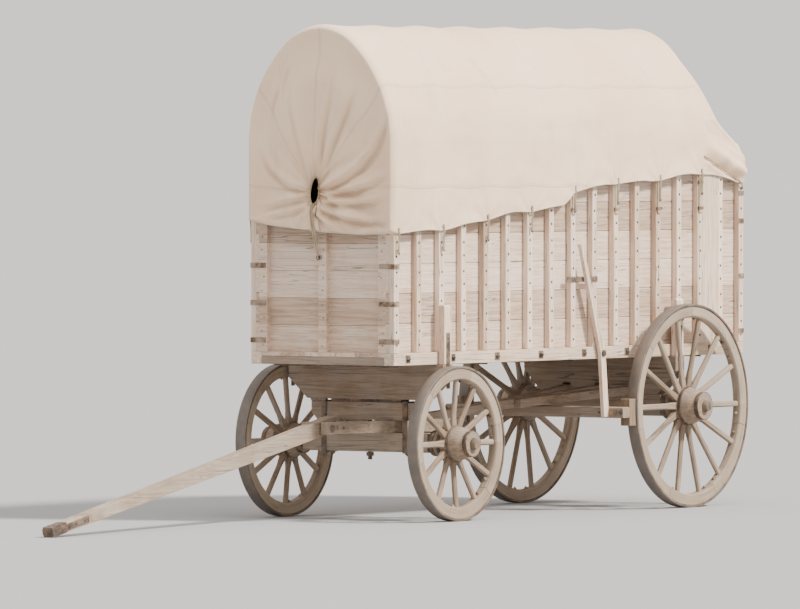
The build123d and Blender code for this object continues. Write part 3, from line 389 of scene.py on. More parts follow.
def forged_iron(name, rust_share, dusty):
    finish = Finish(name)
    point = finish.place()
    blotch = finish.noise(point, 22.0, 5, 0.62)
    pits = finish.noise(point, 240.0, 3, 0.7)
    clean = 0.62 - 0.3 * rust_share
    rusty = finish.ramp(blotch + (pits - 0.5) * 0.3, clean, clean + 0.12)
    colour = finish.mix(rusty, FORGE_BLACK, RUST)
    edge = finish.worn_edge(0.003)
    colour = finish.mix(edge * 0.5, colour, RUBBED)
    dust = finish.ramp(finish.noise(point, 11.0, 4, 0.65), 0.34, 0.64)
    colour = finish.mix(dust * dusty, colour, IRON_DUST)
    rough = 0.55 + rusty * 0.3 - edge * 0.15
    return finish.finish(colour, rough, pits * 0.6 + blotch, 0.0012, Metallic=0.35)


def tyre_iron(name, axle_x, radius):
    finish = Finish(name)
    distance, angle, width = round_the_axle(finish, axle_x, radius)
    point = finish.place()
    blotch = finish.noise(point, 14.0, 5, 0.6)
    scratch_at = finish.vector(angle * 3.0, width * 300.0, distance * 40.0)
    scratch = finish.noise(scratch_at, 1.0, 2, 0.5)
    tread = finish.ramp(distance, radius - 0.004, radius - 0.001)
    colour = finish.mix(finish.ramp(blotch, 0.4, 0.62), TYRE_BLACK, TYRE_RUST)
    colour = finish.mix(tread * (0.45 + 0.4 * scratch), colour, POLISHED)
    dust = finish.ramp(finish.noise(point, 6.0, 4, 0.65), 0.40, 0.66)
    colour = finish.mix(dust * 0.35 * (1 - tread * 0.5), colour, TYRE_DUST)
    rough, relief = 0.74 - tread * 0.2, blotch + scratch * 0.3
    return finish.finish(colour, rough, relief, 0.001, Metallic=0.25)


iron = forged_iron("forged_iron", 0.5, 0.25)
old_iron = forged_iron("rusty_iron", 0.9, 0.7)
tyre_finish = {}
for end, (axle_x, radius, _) in WHEELS.items():
    tyre_finish[end] = tyre_iron(f"{end}_tyre_iron", axle_x, radius)
print("iron finishes", 2 + len(tyre_finish))

# %% [markdown]
# The frame's own pieces keep their shapes and only take a finish. A real edge is never
# perfectly sharp, so each piece also gets a small bevel as a modifier, which leaves the
# frame's mesh as it is and lets every edge catch the light.

# %% Finish the frame's pieces
WOOD_PIECES = {
    "side_boards_wood": ("side_boards_left", "side_boards_right"),
    "rib_wood": ("ribs_left", "ribs_right"),
    "front_end_wood": ("front_end",),
    "tailgate_wood": ("tailgate",),
    "floor_wood": ("floor_boards",),
    "sill_wood": ("side_sills",),
    "bow_wood": ("bows",),
    "upright_wood": ("bolster_stakes", "brake_lever"),
    "long_timber_wood": ("reach", "rear_hounds", "front_hounds", "tongue"),
    "cross_timber_wood": (
        "cross_sills", "front_bolster", "rear_bolster", "front_axle", "rear_axle",
        "sand_board", "sway_bar", "brake_beam",
    ),
    "brake_block_wood": ("brake_blocks",),
}
wood_of = {piece: wood[name] for name, pieces in WOOD_PIECES.items() for piece in pieces}
ROUNDING = {"wood": 0.005, "tyre": 0.004, "wheel": 0.003, "iron": 0.002}
WELD_WITHIN, SHARPEST = 0.00005, radians(35.0)


def round_edges(piece, width):
    weld = piece.modifiers.new("weld", "WELD")
    weld.merge_threshold = WELD_WITHIN
    bevel = piece.modifiers.new("worn edges", "BEVEL")
    bevel.width, bevel.segments = width, 2
    bevel.limit_method, bevel.angle_limit = "ANGLE", SHARPEST
    bevel.harden_normals = True


def dress(piece, material, rounding):
    piece.data.materials.clear()
    piece.data.materials.append(material)
    round_edges(piece, ROUNDING[rounding])


for name, piece in nodes.items():
    if name.startswith("wheel_"):
        _, end, _, part = name.split("_")
        if part == "tyre":
            dress(piece, tyre_finish[end], "tyre")
        elif part == "bands":
            dress(piece, iron, "iron")
        else:
            dress(piece, wheel_wood[end, part], "wheel")
    elif name in wood_of:
        dress(piece, wood_of[name], "wood")
    elif not name.startswith("cover"):
        dress(piece, iron, "iron")
print("finished", len(nodes), "pieces of the frame")

# %% [markdown]
# ## The canvas
# Heavy cotton duck, once cream, now sun-bleached and dusty along its hem. Its weave is
# too fine to model, so it is bump: two sets of threads that cross. The sheet is sewn from
# long widths, and each seam is a doubled strip with a row of stitches on both edges.
# The sheet's own map is in metres of cloth, so threads and seams follow every fold. A
# second map says how deep in a hollow each point lies, and the colour is darkened there
# as painted shade.

# %% Canvas finish
THREADS_PER_METRE, STITCHES_PER_METRE = 420.0, 90.0
CLOTH_WIDTH, SEAM_WIDTH = 0.74, 0.022
PALE_DUCK, WARM_DUCK = (0.94, 0.72, 0.525), (0.87, 0.635, 0.445)
STAIN, DRIP, HEM_DUST = (0.56, 0.455, 0.345), (0.50, 0.39, 0.29), (0.55, 0.445, 0.34)
PAINTED_FOLD_SHADE, SEAM, STITCH = (0.42, 0.30, 0.205), (0.55, 0.46, 0.36), (0.36, 0.28, 0.20)


def canvas_finish(name):
    finish = Finish(name)
    cloth = finish.node("UVMap", {"uv_map": "cloth"})
    # how much painted shade each point takes, from how deep in a hollow it lies
    hollow = finish.axes(finish.node("UVMap", {"uv_map": "painted_shade"}))[0]
    along, across, _ = finish.axes(cloth)
    point = finish.place()
    height = finish.axes(point)[2]
    warp, weft = ((way * (THREADS_PER_METRE * pi)).sine().size() for way in (along, across))
    slub = finish.noise(finish.scaled(cloth, (900.0, 60.0, 1.0)), 1.0, 2, 0.6)
    weave = warp * 0.5 + weft * 0.5 + slub * 0.5

    in_width = across / CLOTH_WIDTH
    from_seam = (in_width - (in_width + 0.5).floor()).size() * CLOTH_WIDTH
    seam = finish.ramp(from_seam, SEAM_WIDTH / 2 + 0.001, SEAM_WIDTH / 2 - 0.001)
    stitch_line = finish.ramp((from_seam - SEAM_WIDTH * 0.38).size(), 0.0016, 0.0006)
    beat = along * STITCHES_PER_METRE
    stitch = stitch_line * finish.ramp((beat - beat.floor() - 0.5).size(), 0.38, 0.30)

    patch = finish.noise(point, 1.3, 5, 0.62)
    stain = finish.noise(finish.scaled(point, (2.1, 2.1, 0.8)), 1.6, 6, 0.66, 0.6)
    crumple = finish.noise(point, 9.0, 4, 0.6, 0.8)
    drip = finish.noise(finish.scaled(point, (9.0, 9.0, 0.7)), 1.0, 4, 0.6)
    low, lowest = finish.ramp(height, 3.2, 2.0), finish.ramp(height, 2.55, 1.95)
    colour = finish.mix(finish.ramp(patch, 0.32, 0.70), PALE_DUCK, WARM_DUCK)
    for amount, tone in (
        (finish.ramp(stain, 0.56, 0.74) * 0.40, STAIN),
        (finish.ramp(drip, 0.55, 0.72) * low * 0.22, DRIP),
        (finish.ramp(crumple, 0.3, 0.7) * lowest * 0.38, HEM_DUST),
        # painted shade: the cloth darkened in the hollows of its folds and round the draw holes
        (hollow * 0.55, PAINTED_FOLD_SHADE),
        (seam * 0.16, SEAM),
        (stitch * 0.5, STITCH),
    ):
        colour = finish.mix(amount, colour, tone)
    relief = weave * 0.22 + crumple * 0.9 + seam * 0.55 + stitch * 0.3
    rough = 0.86 + 0.1 * slub
    return finish.finish(colour, rough, relief, 0.0024, Specular_IOR_Level=0.18, Sheen_Weight=0.12)


canvas = canvas_finish("canvas_duck")
print("canvas made")

# %% [markdown]
# The hem is canvas sewn round a rope, dirtier than the rest. The ropes outside are hemp,
# with lighter fibres that stand out from the grime. Both are noise in two sizes.

# %% Hem and rope finishes
HEM_CLEAN, HEM_GRIMY = (0.70, 0.61, 0.50), (0.52, 0.43, 0.33)
HEMP, HEMP_GRIMY, HEMP_FRAYED = (0.50, 0.40, 0.27), (0.33, 0.25, 0.16), (0.62, 0.52, 0.38)


def cord_finish(name, clean, grimy, grime_scale, fibre_scale, fibre_rough, shine, frayed=None):
    finish = Finish(name)
    point = finish.place()
    fibre = finish.noise(point, fibre_scale, 3, fibre_rough)
    grime = finish.noise(point, grime_scale, 4, 0.6)
    colour = finish.mix(finish.ramp(grime, 0.35, 0.65), clean, grimy)
    if frayed:
        colour = finish.mix(fibre * 0.4, colour, frayed)
    return finish.finish(colour, 0.9, fibre, 0.0015, Specular_IOR_Level=shine)


canvas_hem = cord_finish("canvas_hem", HEM_CLEAN, HEM_GRIMY, 7.0, 130.0, 0.6, 0.18)
rope = cord_finish("hemp_rope", HEMP, HEMP_GRIMY, 14.0, 320.0, 0.7, 0.2, HEMP_FRAYED)
print("hem and rope made")

# %% [markdown]
# ## The shape of the sheet
# The sheet is one large piece of cloth. It hangs over the bows in an arch of three arcs,
# drops straight down the sides, and is drawn together at both ends. A cloth simulation of
# so large a sheet is slow and its folds can't be steered, so the sheet is a grid of points
# worked out with arrays: first the smooth form, then the folds, moved along the normals.

# %% The arch over the bows
CLOTH_LIFT = 0.004
HALF_WIDTH = bow_high.y + CLOTH_LIFT
# half width, radius of the top, angle where it meets the shoulder, height of the springing
HIGH_ARCH = (HALF_WIDTH, 0.462 + CLOTH_LIFT, radians(50.0), 2.725)
LOW_ARCH = (0.648, 1.292, radians(65.0), 2.57)
ARCH_POINTS = 185


def arch_point(angle, half_width, top_r, shoulder, spring):
    """The point of the arch whose outward normal leans by angle from level, left side."""
    side_r = (half_width - top_r * cos(shoulder)) / (1 - cos(shoulder))
    if angle <= shoulder:
        return half_width - side_r * (1 - cos(angle)), spring + side_r * sin(angle)
    top_z = spring + (side_r - top_r) * sin(shoulder)
    return top_r * cos(angle), top_z + top_r * sin(angle)


def distances(points):
    """How far each point of a line is from its first, along the line."""
    return np.r_[0, np.cumsum(np.linalg.norm(np.diff(points, axis=0), axis=1))]


def evenly(points, count):
    """Points spaced evenly along a line of points."""
    points = np.array(points, float)
    run = distances(points)
    at = np.linspace(0, run[-1], count)
    return np.stack([np.interp(at, run, values) for values in points.T], 1)


def arch_row(arch, left_base, right_base):
    """The arch from the left hem over the top to the right hem, as (y, z)."""
    left = [arch_point(angle, *arch) for angle in np.linspace(0, pi / 2, 60)]
    right = [(-y, z) for y, z in left[-2::-1]]
    half_width = left[0][0]
    return evenly([(half_width, left_base), *left, *right, (-half_width, right_base)], ARCH_POINTS)


print("top of the sheet", round(arch_point(pi / 2, *HIGH_ARCH)[1], 3))

# %% [markdown]
# The hem isn't level. It hangs lowest at the front and rises towards the rear, and on the
# left it has a step in the middle. A tie at every bow pulls it down, so that it rises in
# a shallow scallop between two bows.

# %% The hem
# (x, z) along the left side (1) and the right side (-1)
HEMS = {
    1: [
        (-3.93, 2.42), (-3.80, 2.43), (-3.62, 2.47), (-3.46, 2.49), (-3.33, 2.49), (-3.2, 2.485),
        (-3.0, 2.47), (-2.6, 2.43), (-2.2, 2.425), (-1.60, 2.365), (-1.45, 2.255), (-1.2, 2.235),
        (-0.75, 2.205), (-0.35, 2.15), (0.0, 2.105), (0.4, 2.085), (0.74, 2.08),
    ],
    -1: [
        (-3.93, 2.425), (-3.80, 2.44), (-3.55, 2.465), (-3.2, 2.44), (-2.4, 2.31), (-1.6, 2.20),
        (-0.8, 2.12), (0.1, 2.12), (0.74, 2.17),
    ],
}
SCALLOP = 0.018


def hem_height(x, side):
    """Height of the hem at x on the left (1) or right (-1) side."""
    table = np.array(HEMS[side])
    plain = float(np.interp(x, table[:, 0], table[:, 1]))
    bay = (BOW_XS[0] - x) / BOW_PITCH
    return plain + SCALLOP * abs(sin(pi * bay)) ** 1.4 * (BOW_XS[-1] < x < BOW_XS[0])


print("hem from", hem_height(-3.9, 1), "to", hem_height(0.7, 1))

# %% [markdown]
# The rows of the long part run from the rear end, up the slope behind the last bow and
# along the bows to the front. The slope is the sheet drawn straight from the last bow down
# to the low outline of the rear end, so its rows are a mix of the two outlines.

# %% Rows of the long part
END_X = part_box("cover_front")[1].x - 0.022
REAR_END_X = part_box("cover")[0].x + 0.008
FRONT_ROUNDING, REAR_ROUNDING = 0.070, 0.040
SLOPE_X = BOW_XS[-1] - 0.024
REAR_EDGE_X = REAR_END_X + REAR_ROUNDING
SLOPE_ROWS, ROW_STEP, SLOPE_POWER = 34, 0.0185, 1.45

slope_xs = np.linspace(REAR_EDGE_X, SLOPE_X, SLOPE_ROWS, endpoint=False)
bow_rows = int((END_X - FRONT_ROUNDING - SLOPE_X) / ROW_STEP) + 1
row_xs = np.r_[slope_xs, np.linspace(SLOPE_X, END_X - FRONT_ROUNDING, bow_rows)]
hem_left, hem_right = (np.array([hem_height(x, side) for x in row_xs]) for side in (1, -1))
base = []
for x, left, right in zip(row_xs, hem_left, hem_right):
    low_share = max(0.0, (SLOPE_X - x) / (SLOPE_X - REAR_EDGE_X)) ** SLOPE_POWER
    high, low = arch_row(HIGH_ARCH, left, right), arch_row(LOW_ARCH, left, right)
    row = high * (1 - low_share) + low * low_share
    base.append(np.column_stack([np.full(ARCH_POINTS, x), row]))
base = np.array(base)
print("long part", base.shape[:2])

# %% [markdown]
# Cloth is never smooth. Between two bows it sinks, over the sides the wind bellies it out,
# and everywhere it keeps soft creases from when it was folded. Each of these is a height
# above the smooth form. They are summed, and the points then move along the normals of
# the grid.

# %% Helpers for folds
def soft_noise(points, scale, seed):
    """Smooth noise at each point, about -1 to 1."""
    shift = Vector((seed * 17.3, seed * 5.1, seed * 9.7))
    flat = [noise.noise(Vector(p) * scale + shift) for p in points.reshape(-1, 3)]
    return np.array(flat).reshape(points.shape[:-1])


def bell(distance, width):
    """1 at no distance, fading to nothing over about two widths."""
    return np.exp(-((distance / width) ** 2))


def unit(value):
    """The value kept between 0 and 1."""
    return np.clip(value, 0, 1)


def grid_normals(points):
    along, across = np.gradient(points, axis=0), np.gradient(points, axis=1)
    normal = np.cross(across, along)
    normal /= np.linalg.norm(normal, axis=2)[..., None] + 1e-12
    middle = normal[normal.shape[0] // 2, normal.shape[1] // 2]
    return normal if middle[2] > 0 else -normal


print("fold helpers ready")

# %% Sag and creases
SAG, BELLY, SOFT_CREASE, FINE_CREASE, SLANTING_CREASE = 0.019, 0.016, 0.0065, 0.0032, 0.0050

X, Y, Z = base[..., 0], base[..., 1], base[..., 2]
bay = (BOW_XS[0] - X) / BOW_PITCH
between = np.abs(np.sin(pi * bay)) * ((X < BOW_XS[0]) & (X > BOW_XS[-1]))
uneven = 0.7 + 0.5 * soft_noise(base, 0.9, 1)
over = unit((Z - 2.80) / 0.55)
height = -SAG * between ** 1.2 * over * uneven
height += BELLY * bell(Z - 2.44, 0.24) * (0.35 + 0.65 * between) * uneven
soft = soft_noise(base * np.array([0.45, 1.0, 2.6]), 2.4, 2)
fine = soft_noise(base * np.array([0.7, 1.0, 1.6]), 6.5, 5)
height += SOFT_CREASE * soft * (0.3 + 0.7 * between)
height += FINE_CREASE * fine * (0.35 + 0.65 * between)
slanting = X * 2.6 + np.sign(Y) * Z * 4.4 + 0.7 * soft_noise(base, 2.0, 3)
height += SLANTING_CREASE * np.sin(slanting * 3.1) * unit((2.9 - Z) / 0.5) * between
print("creases from", round(float(height.min()), 4), "to", round(float(height.max()), 4))

# %% [markdown]
# Each tie puckers the hem above it in a small fan, and between two ties the hem stands out
# a little. The slope behind the last bow is drawn in to a narrower end, so the cloth there
# stands in gathers that deepen towards the rear. On the sides the boards and ribs are
# close behind the cloth, so there the heights are kept within narrow limits.

# %% Puckers at the ties and gathers of the slope
PUCKER, HEM_TUCK, HEM_FLARE = 0.0065, 0.0045, 0.020
BROAD_GATHER, NARROW_GATHER, SLOPE_SAG = 0.009, 0.0075, 0.012
DEEPEST_ON_SIDE, HIGHEST_ON_SIDE = -0.0035, 0.028

above = Z - np.where(Y > 0, hem_left[:, None], hem_right[:, None])
for tie_x in BOW_XS:
    far = np.hypot(X - tie_x, above) + 0.03
    fan = np.sin(9.0 * np.arctan2(X - tie_x, above + 0.03) + tie_x * 9)
    height += PUCKER * fan * np.exp(-far / 0.20) * (above < 0.6)
height -= HEM_TUCK * np.exp(-above / 0.05) * (np.abs(Y) > 0.6)

fall = unit((SLOPE_X - X) / (SLOPE_X - REAR_EDGE_X))
place = np.linspace(-1, 1, ARCH_POINTS)[None, :]
drawn = np.cos(place * 23 + 1.5 * np.sin(place * 5)) * BROAD_GATHER * np.sin(pi * fall ** 0.8)
drawn += np.cos(place * 41 + 2.0 * np.sin(place * 7)) * NARROW_GATHER * fall
height += drawn - SLOPE_SAG * np.sin(pi * fall) * bell(place, 0.45)
height += HEM_FLARE * np.exp(-above / 0.09) * between * uneven
on_side = np.clip(height, DEEPEST_ON_SIDE, HIGHEST_ON_SIDE)
height = np.where(np.abs(Y) > 0.62, on_side, height)
print("folds from", round(float(height.min()), 4), "to", round(float(height.max()), 4))

# %% [markdown]
# Two marks of this one cover are put in one by one. On the left a sharp crease rises from the
# hem with a soft fold in front of it. At each rear corner a rope is drawn tight over the
# sheet, down and back to the box: the cloth is pressed in under it and swells on both
# sides of it.

# %% A crease and the pull of a rope
CREASE_X, CREASE_WIDTH, CREASE_DEPTH = -2.13, 0.017, 0.003
BESIDE_CREASE, BESIDE_WIDTH, BESIDE_HEIGHT = 0.036, 0.022, 0.019
# the rope's line as (x, z), how deep it sinks and how high the cloth swells above and below
REAR_PULL = ((-3.35, 2.625), (-3.87, 2.425))
PULL_DEPTH, SWELL_ABOVE, SWELL_BELOW = 0.009, 0.034, 0.010

crease_reach = bell(above, 0.24) * (Y > 0)
crease = bell(X - CREASE_X, CREASE_WIDTH) * crease_reach
beside = bell(X - CREASE_X - BESIDE_CREASE, BESIDE_WIDTH) * crease_reach
height += BESIDE_HEIGHT * beside - CREASE_DEPTH * crease

(pull_from_x, pull_from_z), (pull_to_x, pull_to_z) = REAR_PULL
pull_x, pull_z = pull_to_x - pull_from_x, pull_to_z - pull_from_z
pull_length = hypot(pull_x, pull_z)
from_x, from_z = X - pull_from_x, Z - pull_from_z
at_pull = (from_x * pull_x + from_z * pull_z) / pull_length ** 2
over_pull = (from_x * pull_z - from_z * pull_x) / pull_length
within = unit(at_pull * 5) * unit((1.15 - at_pull) * 5) * (np.abs(Y) > 0.35)
pulled = -PULL_DEPTH * bell(over_pull, 0.018)
pulled += SWELL_ABOVE * bell(over_pull - 0.085, 0.052) + SWELL_BELOW * bell(over_pull + 0.035, 0.018)
height += within * pulled * (1 + 0.25 * np.sin(at_pull * 17))

cloth = base + grid_normals(base) * height[..., None]
cloth[:, 0, 2], cloth[:, -1, 2] = hem_left, hem_right
print("long part from", cloth.min((0, 1)).round(3), "to", cloth.max((0, 1)).round(3))

# %% [markdown]
# Each end is drawn up like the neck of a sack: a rope in the hem gathers the whole width
# of cloth into a hole the size of a hand. Every line of cloth that comes over the arch
# runs to that hole, and its spare width stands up in folds: many and sharp at the hole,
# few and broad at the arch. The folds are waves in the angle round the hole, and each kind
# fades at its own distance. On one side the pull is strongest, and the folds swing
# upwards there as they leave the hole.

# %% Waves round a draw hole
# waves round the hole, depth in metres, how far they reach (1 is the arch), phase
FOLD_WAVES = [
    (37, 0.0050, 0.16, 0.3),
    (23, 0.0085, 0.34, 1.9),
    (13, 0.0100, 0.66, 0.8),
    (7, 0.0085, 1.10, 2.6),
]


def fold_height(angle, reach, end):
    """How far the cloth stands out at an angle round the hole; reach is 0 at the hole."""
    near = 0.5 + 0.5 * np.sin(angle - end.lead)
    turned = angle - end.swing * near * reach
    total = np.zeros_like(reach)
    for waves, depth, far, phase in FOLD_WAVES:
        wobble = 0.9 * np.sin(2 * turned + phase) + 0.5 * np.sin(3 * turned - phase)
        wave = np.sin(waves * turned + phase + wobble)
        crest = np.sign(wave) * np.abs(wave) ** 0.8
        total += depth * bell(reach, far) * np.where(crest > 0, crest, 0.55 * crest)
    ending = unit((1.02 - reach) * 5) * unit(reach * 14 + 0.35)
    return total * ending * (0.40 + 0.95 * near ** 2)


print("kinds of waves", len(FOLD_WAVES))

# %% [markdown]
# The eye knows a gathered cloth by its few large folds, which no sum of waves puts in the
# right place. These are drawn one by one as lines: a crest that follows the line, with a
# hollow along its lower side, both fading out at the far end.

# %% Single folds
def fold_line(y, z, path, depth, width):
    """A single fold: a crest along a path of (y, z) points and a hollow below it."""
    near, at, below = np.full(y.shape, 9.0), np.zeros(y.shape), np.zeros(y.shape)
    run = 0.0
    for (y0, z0), (y1, z1) in zip(path, path[1:]):
        run_y, run_z = y1 - y0, z1 - z0
        step = hypot(run_y, run_z)
        along = unit(((y - y0) * run_y + (z - z0) * run_z) / step ** 2)
        away_y, away_z = y - (y0 + along * run_y), z - (z0 + along * run_z)
        far = np.hypot(away_y, away_z)
        closer = far < near
        near = np.where(closer, far, near)
        at = np.where(closer, run + along * step, at)
        lower = np.sign(run_y or 1) * (run_y * away_z - run_z * away_y) < 0
        below = np.where(closer, np.where(lower, 1.0, -1.0), below)
        run += step
    share = at / run
    fade = unit(share * 7 + 0.2) * unit((1 - share) * 2.2)
    hollow = bell(near * below - 1.7 * width, 0.9 * width)
    return depth * fade * (bell(near, width) - 0.75 * hollow)


# the crest of each fold as (y, z), its depth and its width
FRONT_FOLDS = [
    ([(-0.01, 2.410), (0.10, 2.440), (0.22, 2.49), (0.34, 2.57), (0.45, 2.69), (0.53, 2.85),
      (0.58, 3.03)], 0.044, 0.026),
    ([(0.00, 2.370), (0.14, 2.385), (0.30, 2.410), (0.45, 2.455), (0.59, 2.540)], 0.042, 0.023),
    ([(0.00, 2.325), (0.16, 2.315), (0.32, 2.310), (0.46, 2.325), (0.61, 2.360)], 0.036, 0.021),
    ([(-0.02, 2.285), (0.12, 2.235), (0.28, 2.200), (0.44, 2.180), (0.61, 2.190)], 0.036, 0.023),
    ([(-0.04, 2.250), (0.08, 2.155), (0.22, 2.085), (0.38, 2.040), (0.57, 2.010)], 0.026, 0.023),
    ([(-0.12, 2.345), (-0.26, 2.335), (-0.42, 2.300), (-0.58, 2.260)], 0.018, 0.023),
    ([(-0.12, 2.400), (-0.28, 2.450), (-0.44, 2.560), (-0.54, 2.720)], 0.020, 0.025),
    ([(-0.11, 2.290), (-0.24, 2.245), (-0.40, 2.215), (-0.56, 2.195)], 0.014, 0.021),
    ([(-0.05, 2.500), (-0.02, 2.740), (0.05, 3.020), (0.10, 3.340)], 0.020, 0.024),
    ([(-0.02, 2.490), (0.10, 2.740), (0.22, 2.980), (0.31, 3.260)], 0.019, 0.024),
    ([(-0.08, 2.490), (-0.15, 2.720), (-0.22, 2.990), (-0.25, 3.260)], 0.015, 0.024),
    ([(-0.40, 3.140), (-0.46, 3.000), (-0.47, 2.840)], 0.012, 0.018),
    ([(-0.31, 3.300), (-0.36, 3.140), (-0.37, 2.980)], 0.011, 0.018),
]
REAR_FOLDS = [
    ([(0.05, 2.650), (0.20, 2.620), (0.38, 2.560), (0.54, 2.500)], 0.010, 0.018),
    ([(-0.05, 2.650), (-0.22, 2.615), (-0.40, 2.565), (-0.55, 2.505)], 0.010, 0.018),
    ([(0.04, 2.630), (0.14, 2.560), (0.26, 2.480)], 0.009, 0.017),
    ([(-0.04, 2.630), (-0.13, 2.555), (-0.24, 2.480)], 0.009, 0.017),
]
print("single folds", len(FRONT_FOLDS), len(REAR_FOLDS))

# %% [markdown]
# An end is a set of rings. The outermost is the last row of the long part, closed below by
# the hem. The next few turn the corner on a quarter circle, and the rest run in to the
# hole, pressed back a little on the way, where the cloth has nothing behind it. The hole is
# an oval that can lean. Past the draw rope the hem flares out again as a short frill.

# %% Measures of the two ends
FRONT_END = SimpleNamespace(
    face_x=END_X, outward=1.0, rounding=FRONT_ROUNDING, rings=52, folds=FRONT_FOLDS,
    foot=(-0.035, 2.115), overlap=0.05, hem_curve=1.2, hem_sag=0.010,
    hole=(-0.06, 2.37), half_wide=0.040, half_up=0.115, half_down=0.085, lean=0.14,
    swing=0.9, lead=0.35, dent=0.045, dish=0.036, dish_reach=0.34,
)
REAR_END = SimpleNamespace(
    face_x=REAR_END_X, outward=-1.0, rounding=REAR_ROUNDING, rings=36, folds=REAR_FOLDS,
    foot=(0.02, 2.425), overlap=0.04, hem_curve=0.35, hem_sag=0.004,
    hole=(0.0, 2.655), half_wide=0.036, half_up=0.028, half_down=0.028, lean=0.0,
    swing=0.3, lead=-1.2, dent=0.008, dish=0.0, dish_reach=0.30,
)
print("rings of the ends", FRONT_END.rings, REAR_END.rings)

# %% Rings of an end
LOWER_POINTS, CURL_RINGS, COLLAR_RINGS = 40, 9, 4
# the last is how deep a fold sinks before its painted shade is full
DEEPEST_FACE, LAP, FULL_SHADE_DEPTH = 0.042, 0.006, 0.016
FRILL, FRILL_OUT, FRILL_FORWARD = 0.006, 0.012, 0.022


def lower_edge(corner, side, end):
    """The hem across an end, from a corner to where it laps over the other under the hole."""
    share = np.linspace(0, 1, LOWER_POINTS + 1)[1:]
    foot_y, foot_z = end.foot[0] - side * end.overlap, end.foot[1] - end.overlap * 0.3
    y = corner[0] + (foot_y - corner[0]) * share
    z = corner[1] + (foot_z - corner[1]) * share ** end.hem_curve
    return np.stack([y, z - end.hem_sag * np.sin(pi * share)], 1)


def collar(neck, angle, hole_r, end):
    """The rings of the frill that follow the innermost ring of an end."""
    for ring in range(1, COLLAR_RINGS + 1):
        out = ring / COLLAR_RINGS
        frill = np.sin(angle * 17 + 2 * np.sin(angle * 2)) * FRILL * out
        wide = hole_r + FRILL_OUT * out ** 1.5 + frill
        x = neck[:, 0] + end.outward * (FRILL_FORWARD * out + frill * 0.5)
        y, z = end.hole[0] + wide * np.sin(angle), end.hole[1] + wide * np.cos(angle)
        yield np.stack([x, y, z], 1)


def gather(row, end):
    """The rings of an end, from the arch in to the hole and its collar, and their painted shade."""
    left, right = lower_edge(row[0], 1, end)[::-1], lower_edge(row[-1], -1, end)
    outline = np.concatenate([left, row, right])
    steps = np.linspace(LOWER_POINTS, 1, LOWER_POINTS)
    from_corner = np.r_[steps, np.zeros(len(row)), steps[::-1]] / LOWER_POINTS
    offset = outline - np.array(end.hole)
    angle, far = np.arctan2(offset[:, 0], offset[:, 1]), np.hypot(offset[:, 0], offset[:, 1])
    tall = np.where(np.cos(angle) > 0, end.half_up, end.half_down)
    leaning = angle - end.lean
    hole_r = 1 / np.hypot(np.sin(leaning) / end.half_wide, np.cos(leaning) / tall)

    turn = np.linspace(0, pi / 2, CURL_RINGS + 1)[:, None]
    flat = (np.arange(1, end.rings + 1) / end.rings)[:, None] ** 0.9
    curl_in = end.rounding * (1 - np.cos(turn)) + 0 * far
    inset = np.concatenate([curl_in, end.rounding + (far - hole_r - end.rounding) * flat])
    curl = np.concatenate([1 - np.sin(turn) + 0 * far, 0 * flat * far])
    away = far - inset
    reach = (away - hole_r) / (far - hole_r)
    y, z = end.hole[0] + away * np.sin(angle), end.hole[1] + away * np.cos(angle)

    depth = end.rounding * bell(from_corner, 0.20) * curl + end.dent * bell(reach, 0.22)
    sunk = unit((inset - 0.5 * end.rounding) / end.dish_reach)
    under_arch = (1 - from_corner) * np.where(from_corner == 0, 1.0, 0.5)
    depth = depth + end.dish * np.sin(pi * sunk ** 0.8) * under_arch
    stand = fold_height(angle[None, :] + 0 * reach, reach, end)
    for path, fold_depth, width in end.folds:
        stand = stand + fold_line(y, z, path, fold_depth, width)
    stand = stand * unit(np.maximum(inset / 0.10, 0.35 * (from_corner > 0)))
    side = np.sign(np.arange(len(outline)) - len(outline) / 2)[None, :]
    lap = LAP * side * (from_corner > 0.82)
    deepest = np.where(inset < 0.6 * end.rounding, end.rounding, DEEPEST_FACE)
    x = end.face_x + end.outward * np.maximum(stand - depth + lap, -deepest)

    face = np.stack([x, y, z], 2)
    face = np.concatenate([face, list(collar(face[-1], angle, hole_r, end))])
    # painted shade: darker where a fold sinks in and close round the draw hole
    hollow = unit(-stand / FULL_SHADE_DEPTH) + 0.8 * bell(reach, 0.10)
    hollow = np.concatenate([hollow, np.repeat(hollow[-1:], COLLAR_RINGS, 0)])
    return face, unit(hollow)


front_face, front_painted_shade = gather(cloth[-1, :, 1:], FRONT_END)
rear_face, rear_painted_shade = gather(cloth[0, :, 1:], REAR_END)
print("front face", front_face.shape[:2], "rear face", rear_face.shape[:2])

# %% [markdown]
# The three grids become one mesh. Where an end meets the long part, its outermost ring
# uses the long part's own points, so the sheet has no seam there. Every point also keeps
# its place on the flat cloth, in metres, for the weave and the sewn seams to follow, and
# how much painted shade it takes, from how deep in a hollow it lies.

# %% One mesh for the sheet
def skin(name, points, faces):
    """A mesh with smooth faces."""
    mesh = bpy.data.meshes.new(name)
    mesh.from_pydata(points, [], faces)
    mesh.polygons.foreach_set("use_smooth", [True] * len(mesh.polygons))
    return mesh


def into_scene(name, data):
    """A new object in the scene."""
    made = bpy.data.objects.new(name, data)
    bpy.context.collection.objects.link(made)
    return made


def lengths(points, axis):
    """Distance along each line of a grid from its first point."""
    steps = np.linalg.norm(np.diff(points, axis=axis), axis=-1)
    start = np.zeros_like(np.take(steps, [0], axis=axis))
    return np.concatenate([start, np.cumsum(steps, axis=axis)], axis=axis)


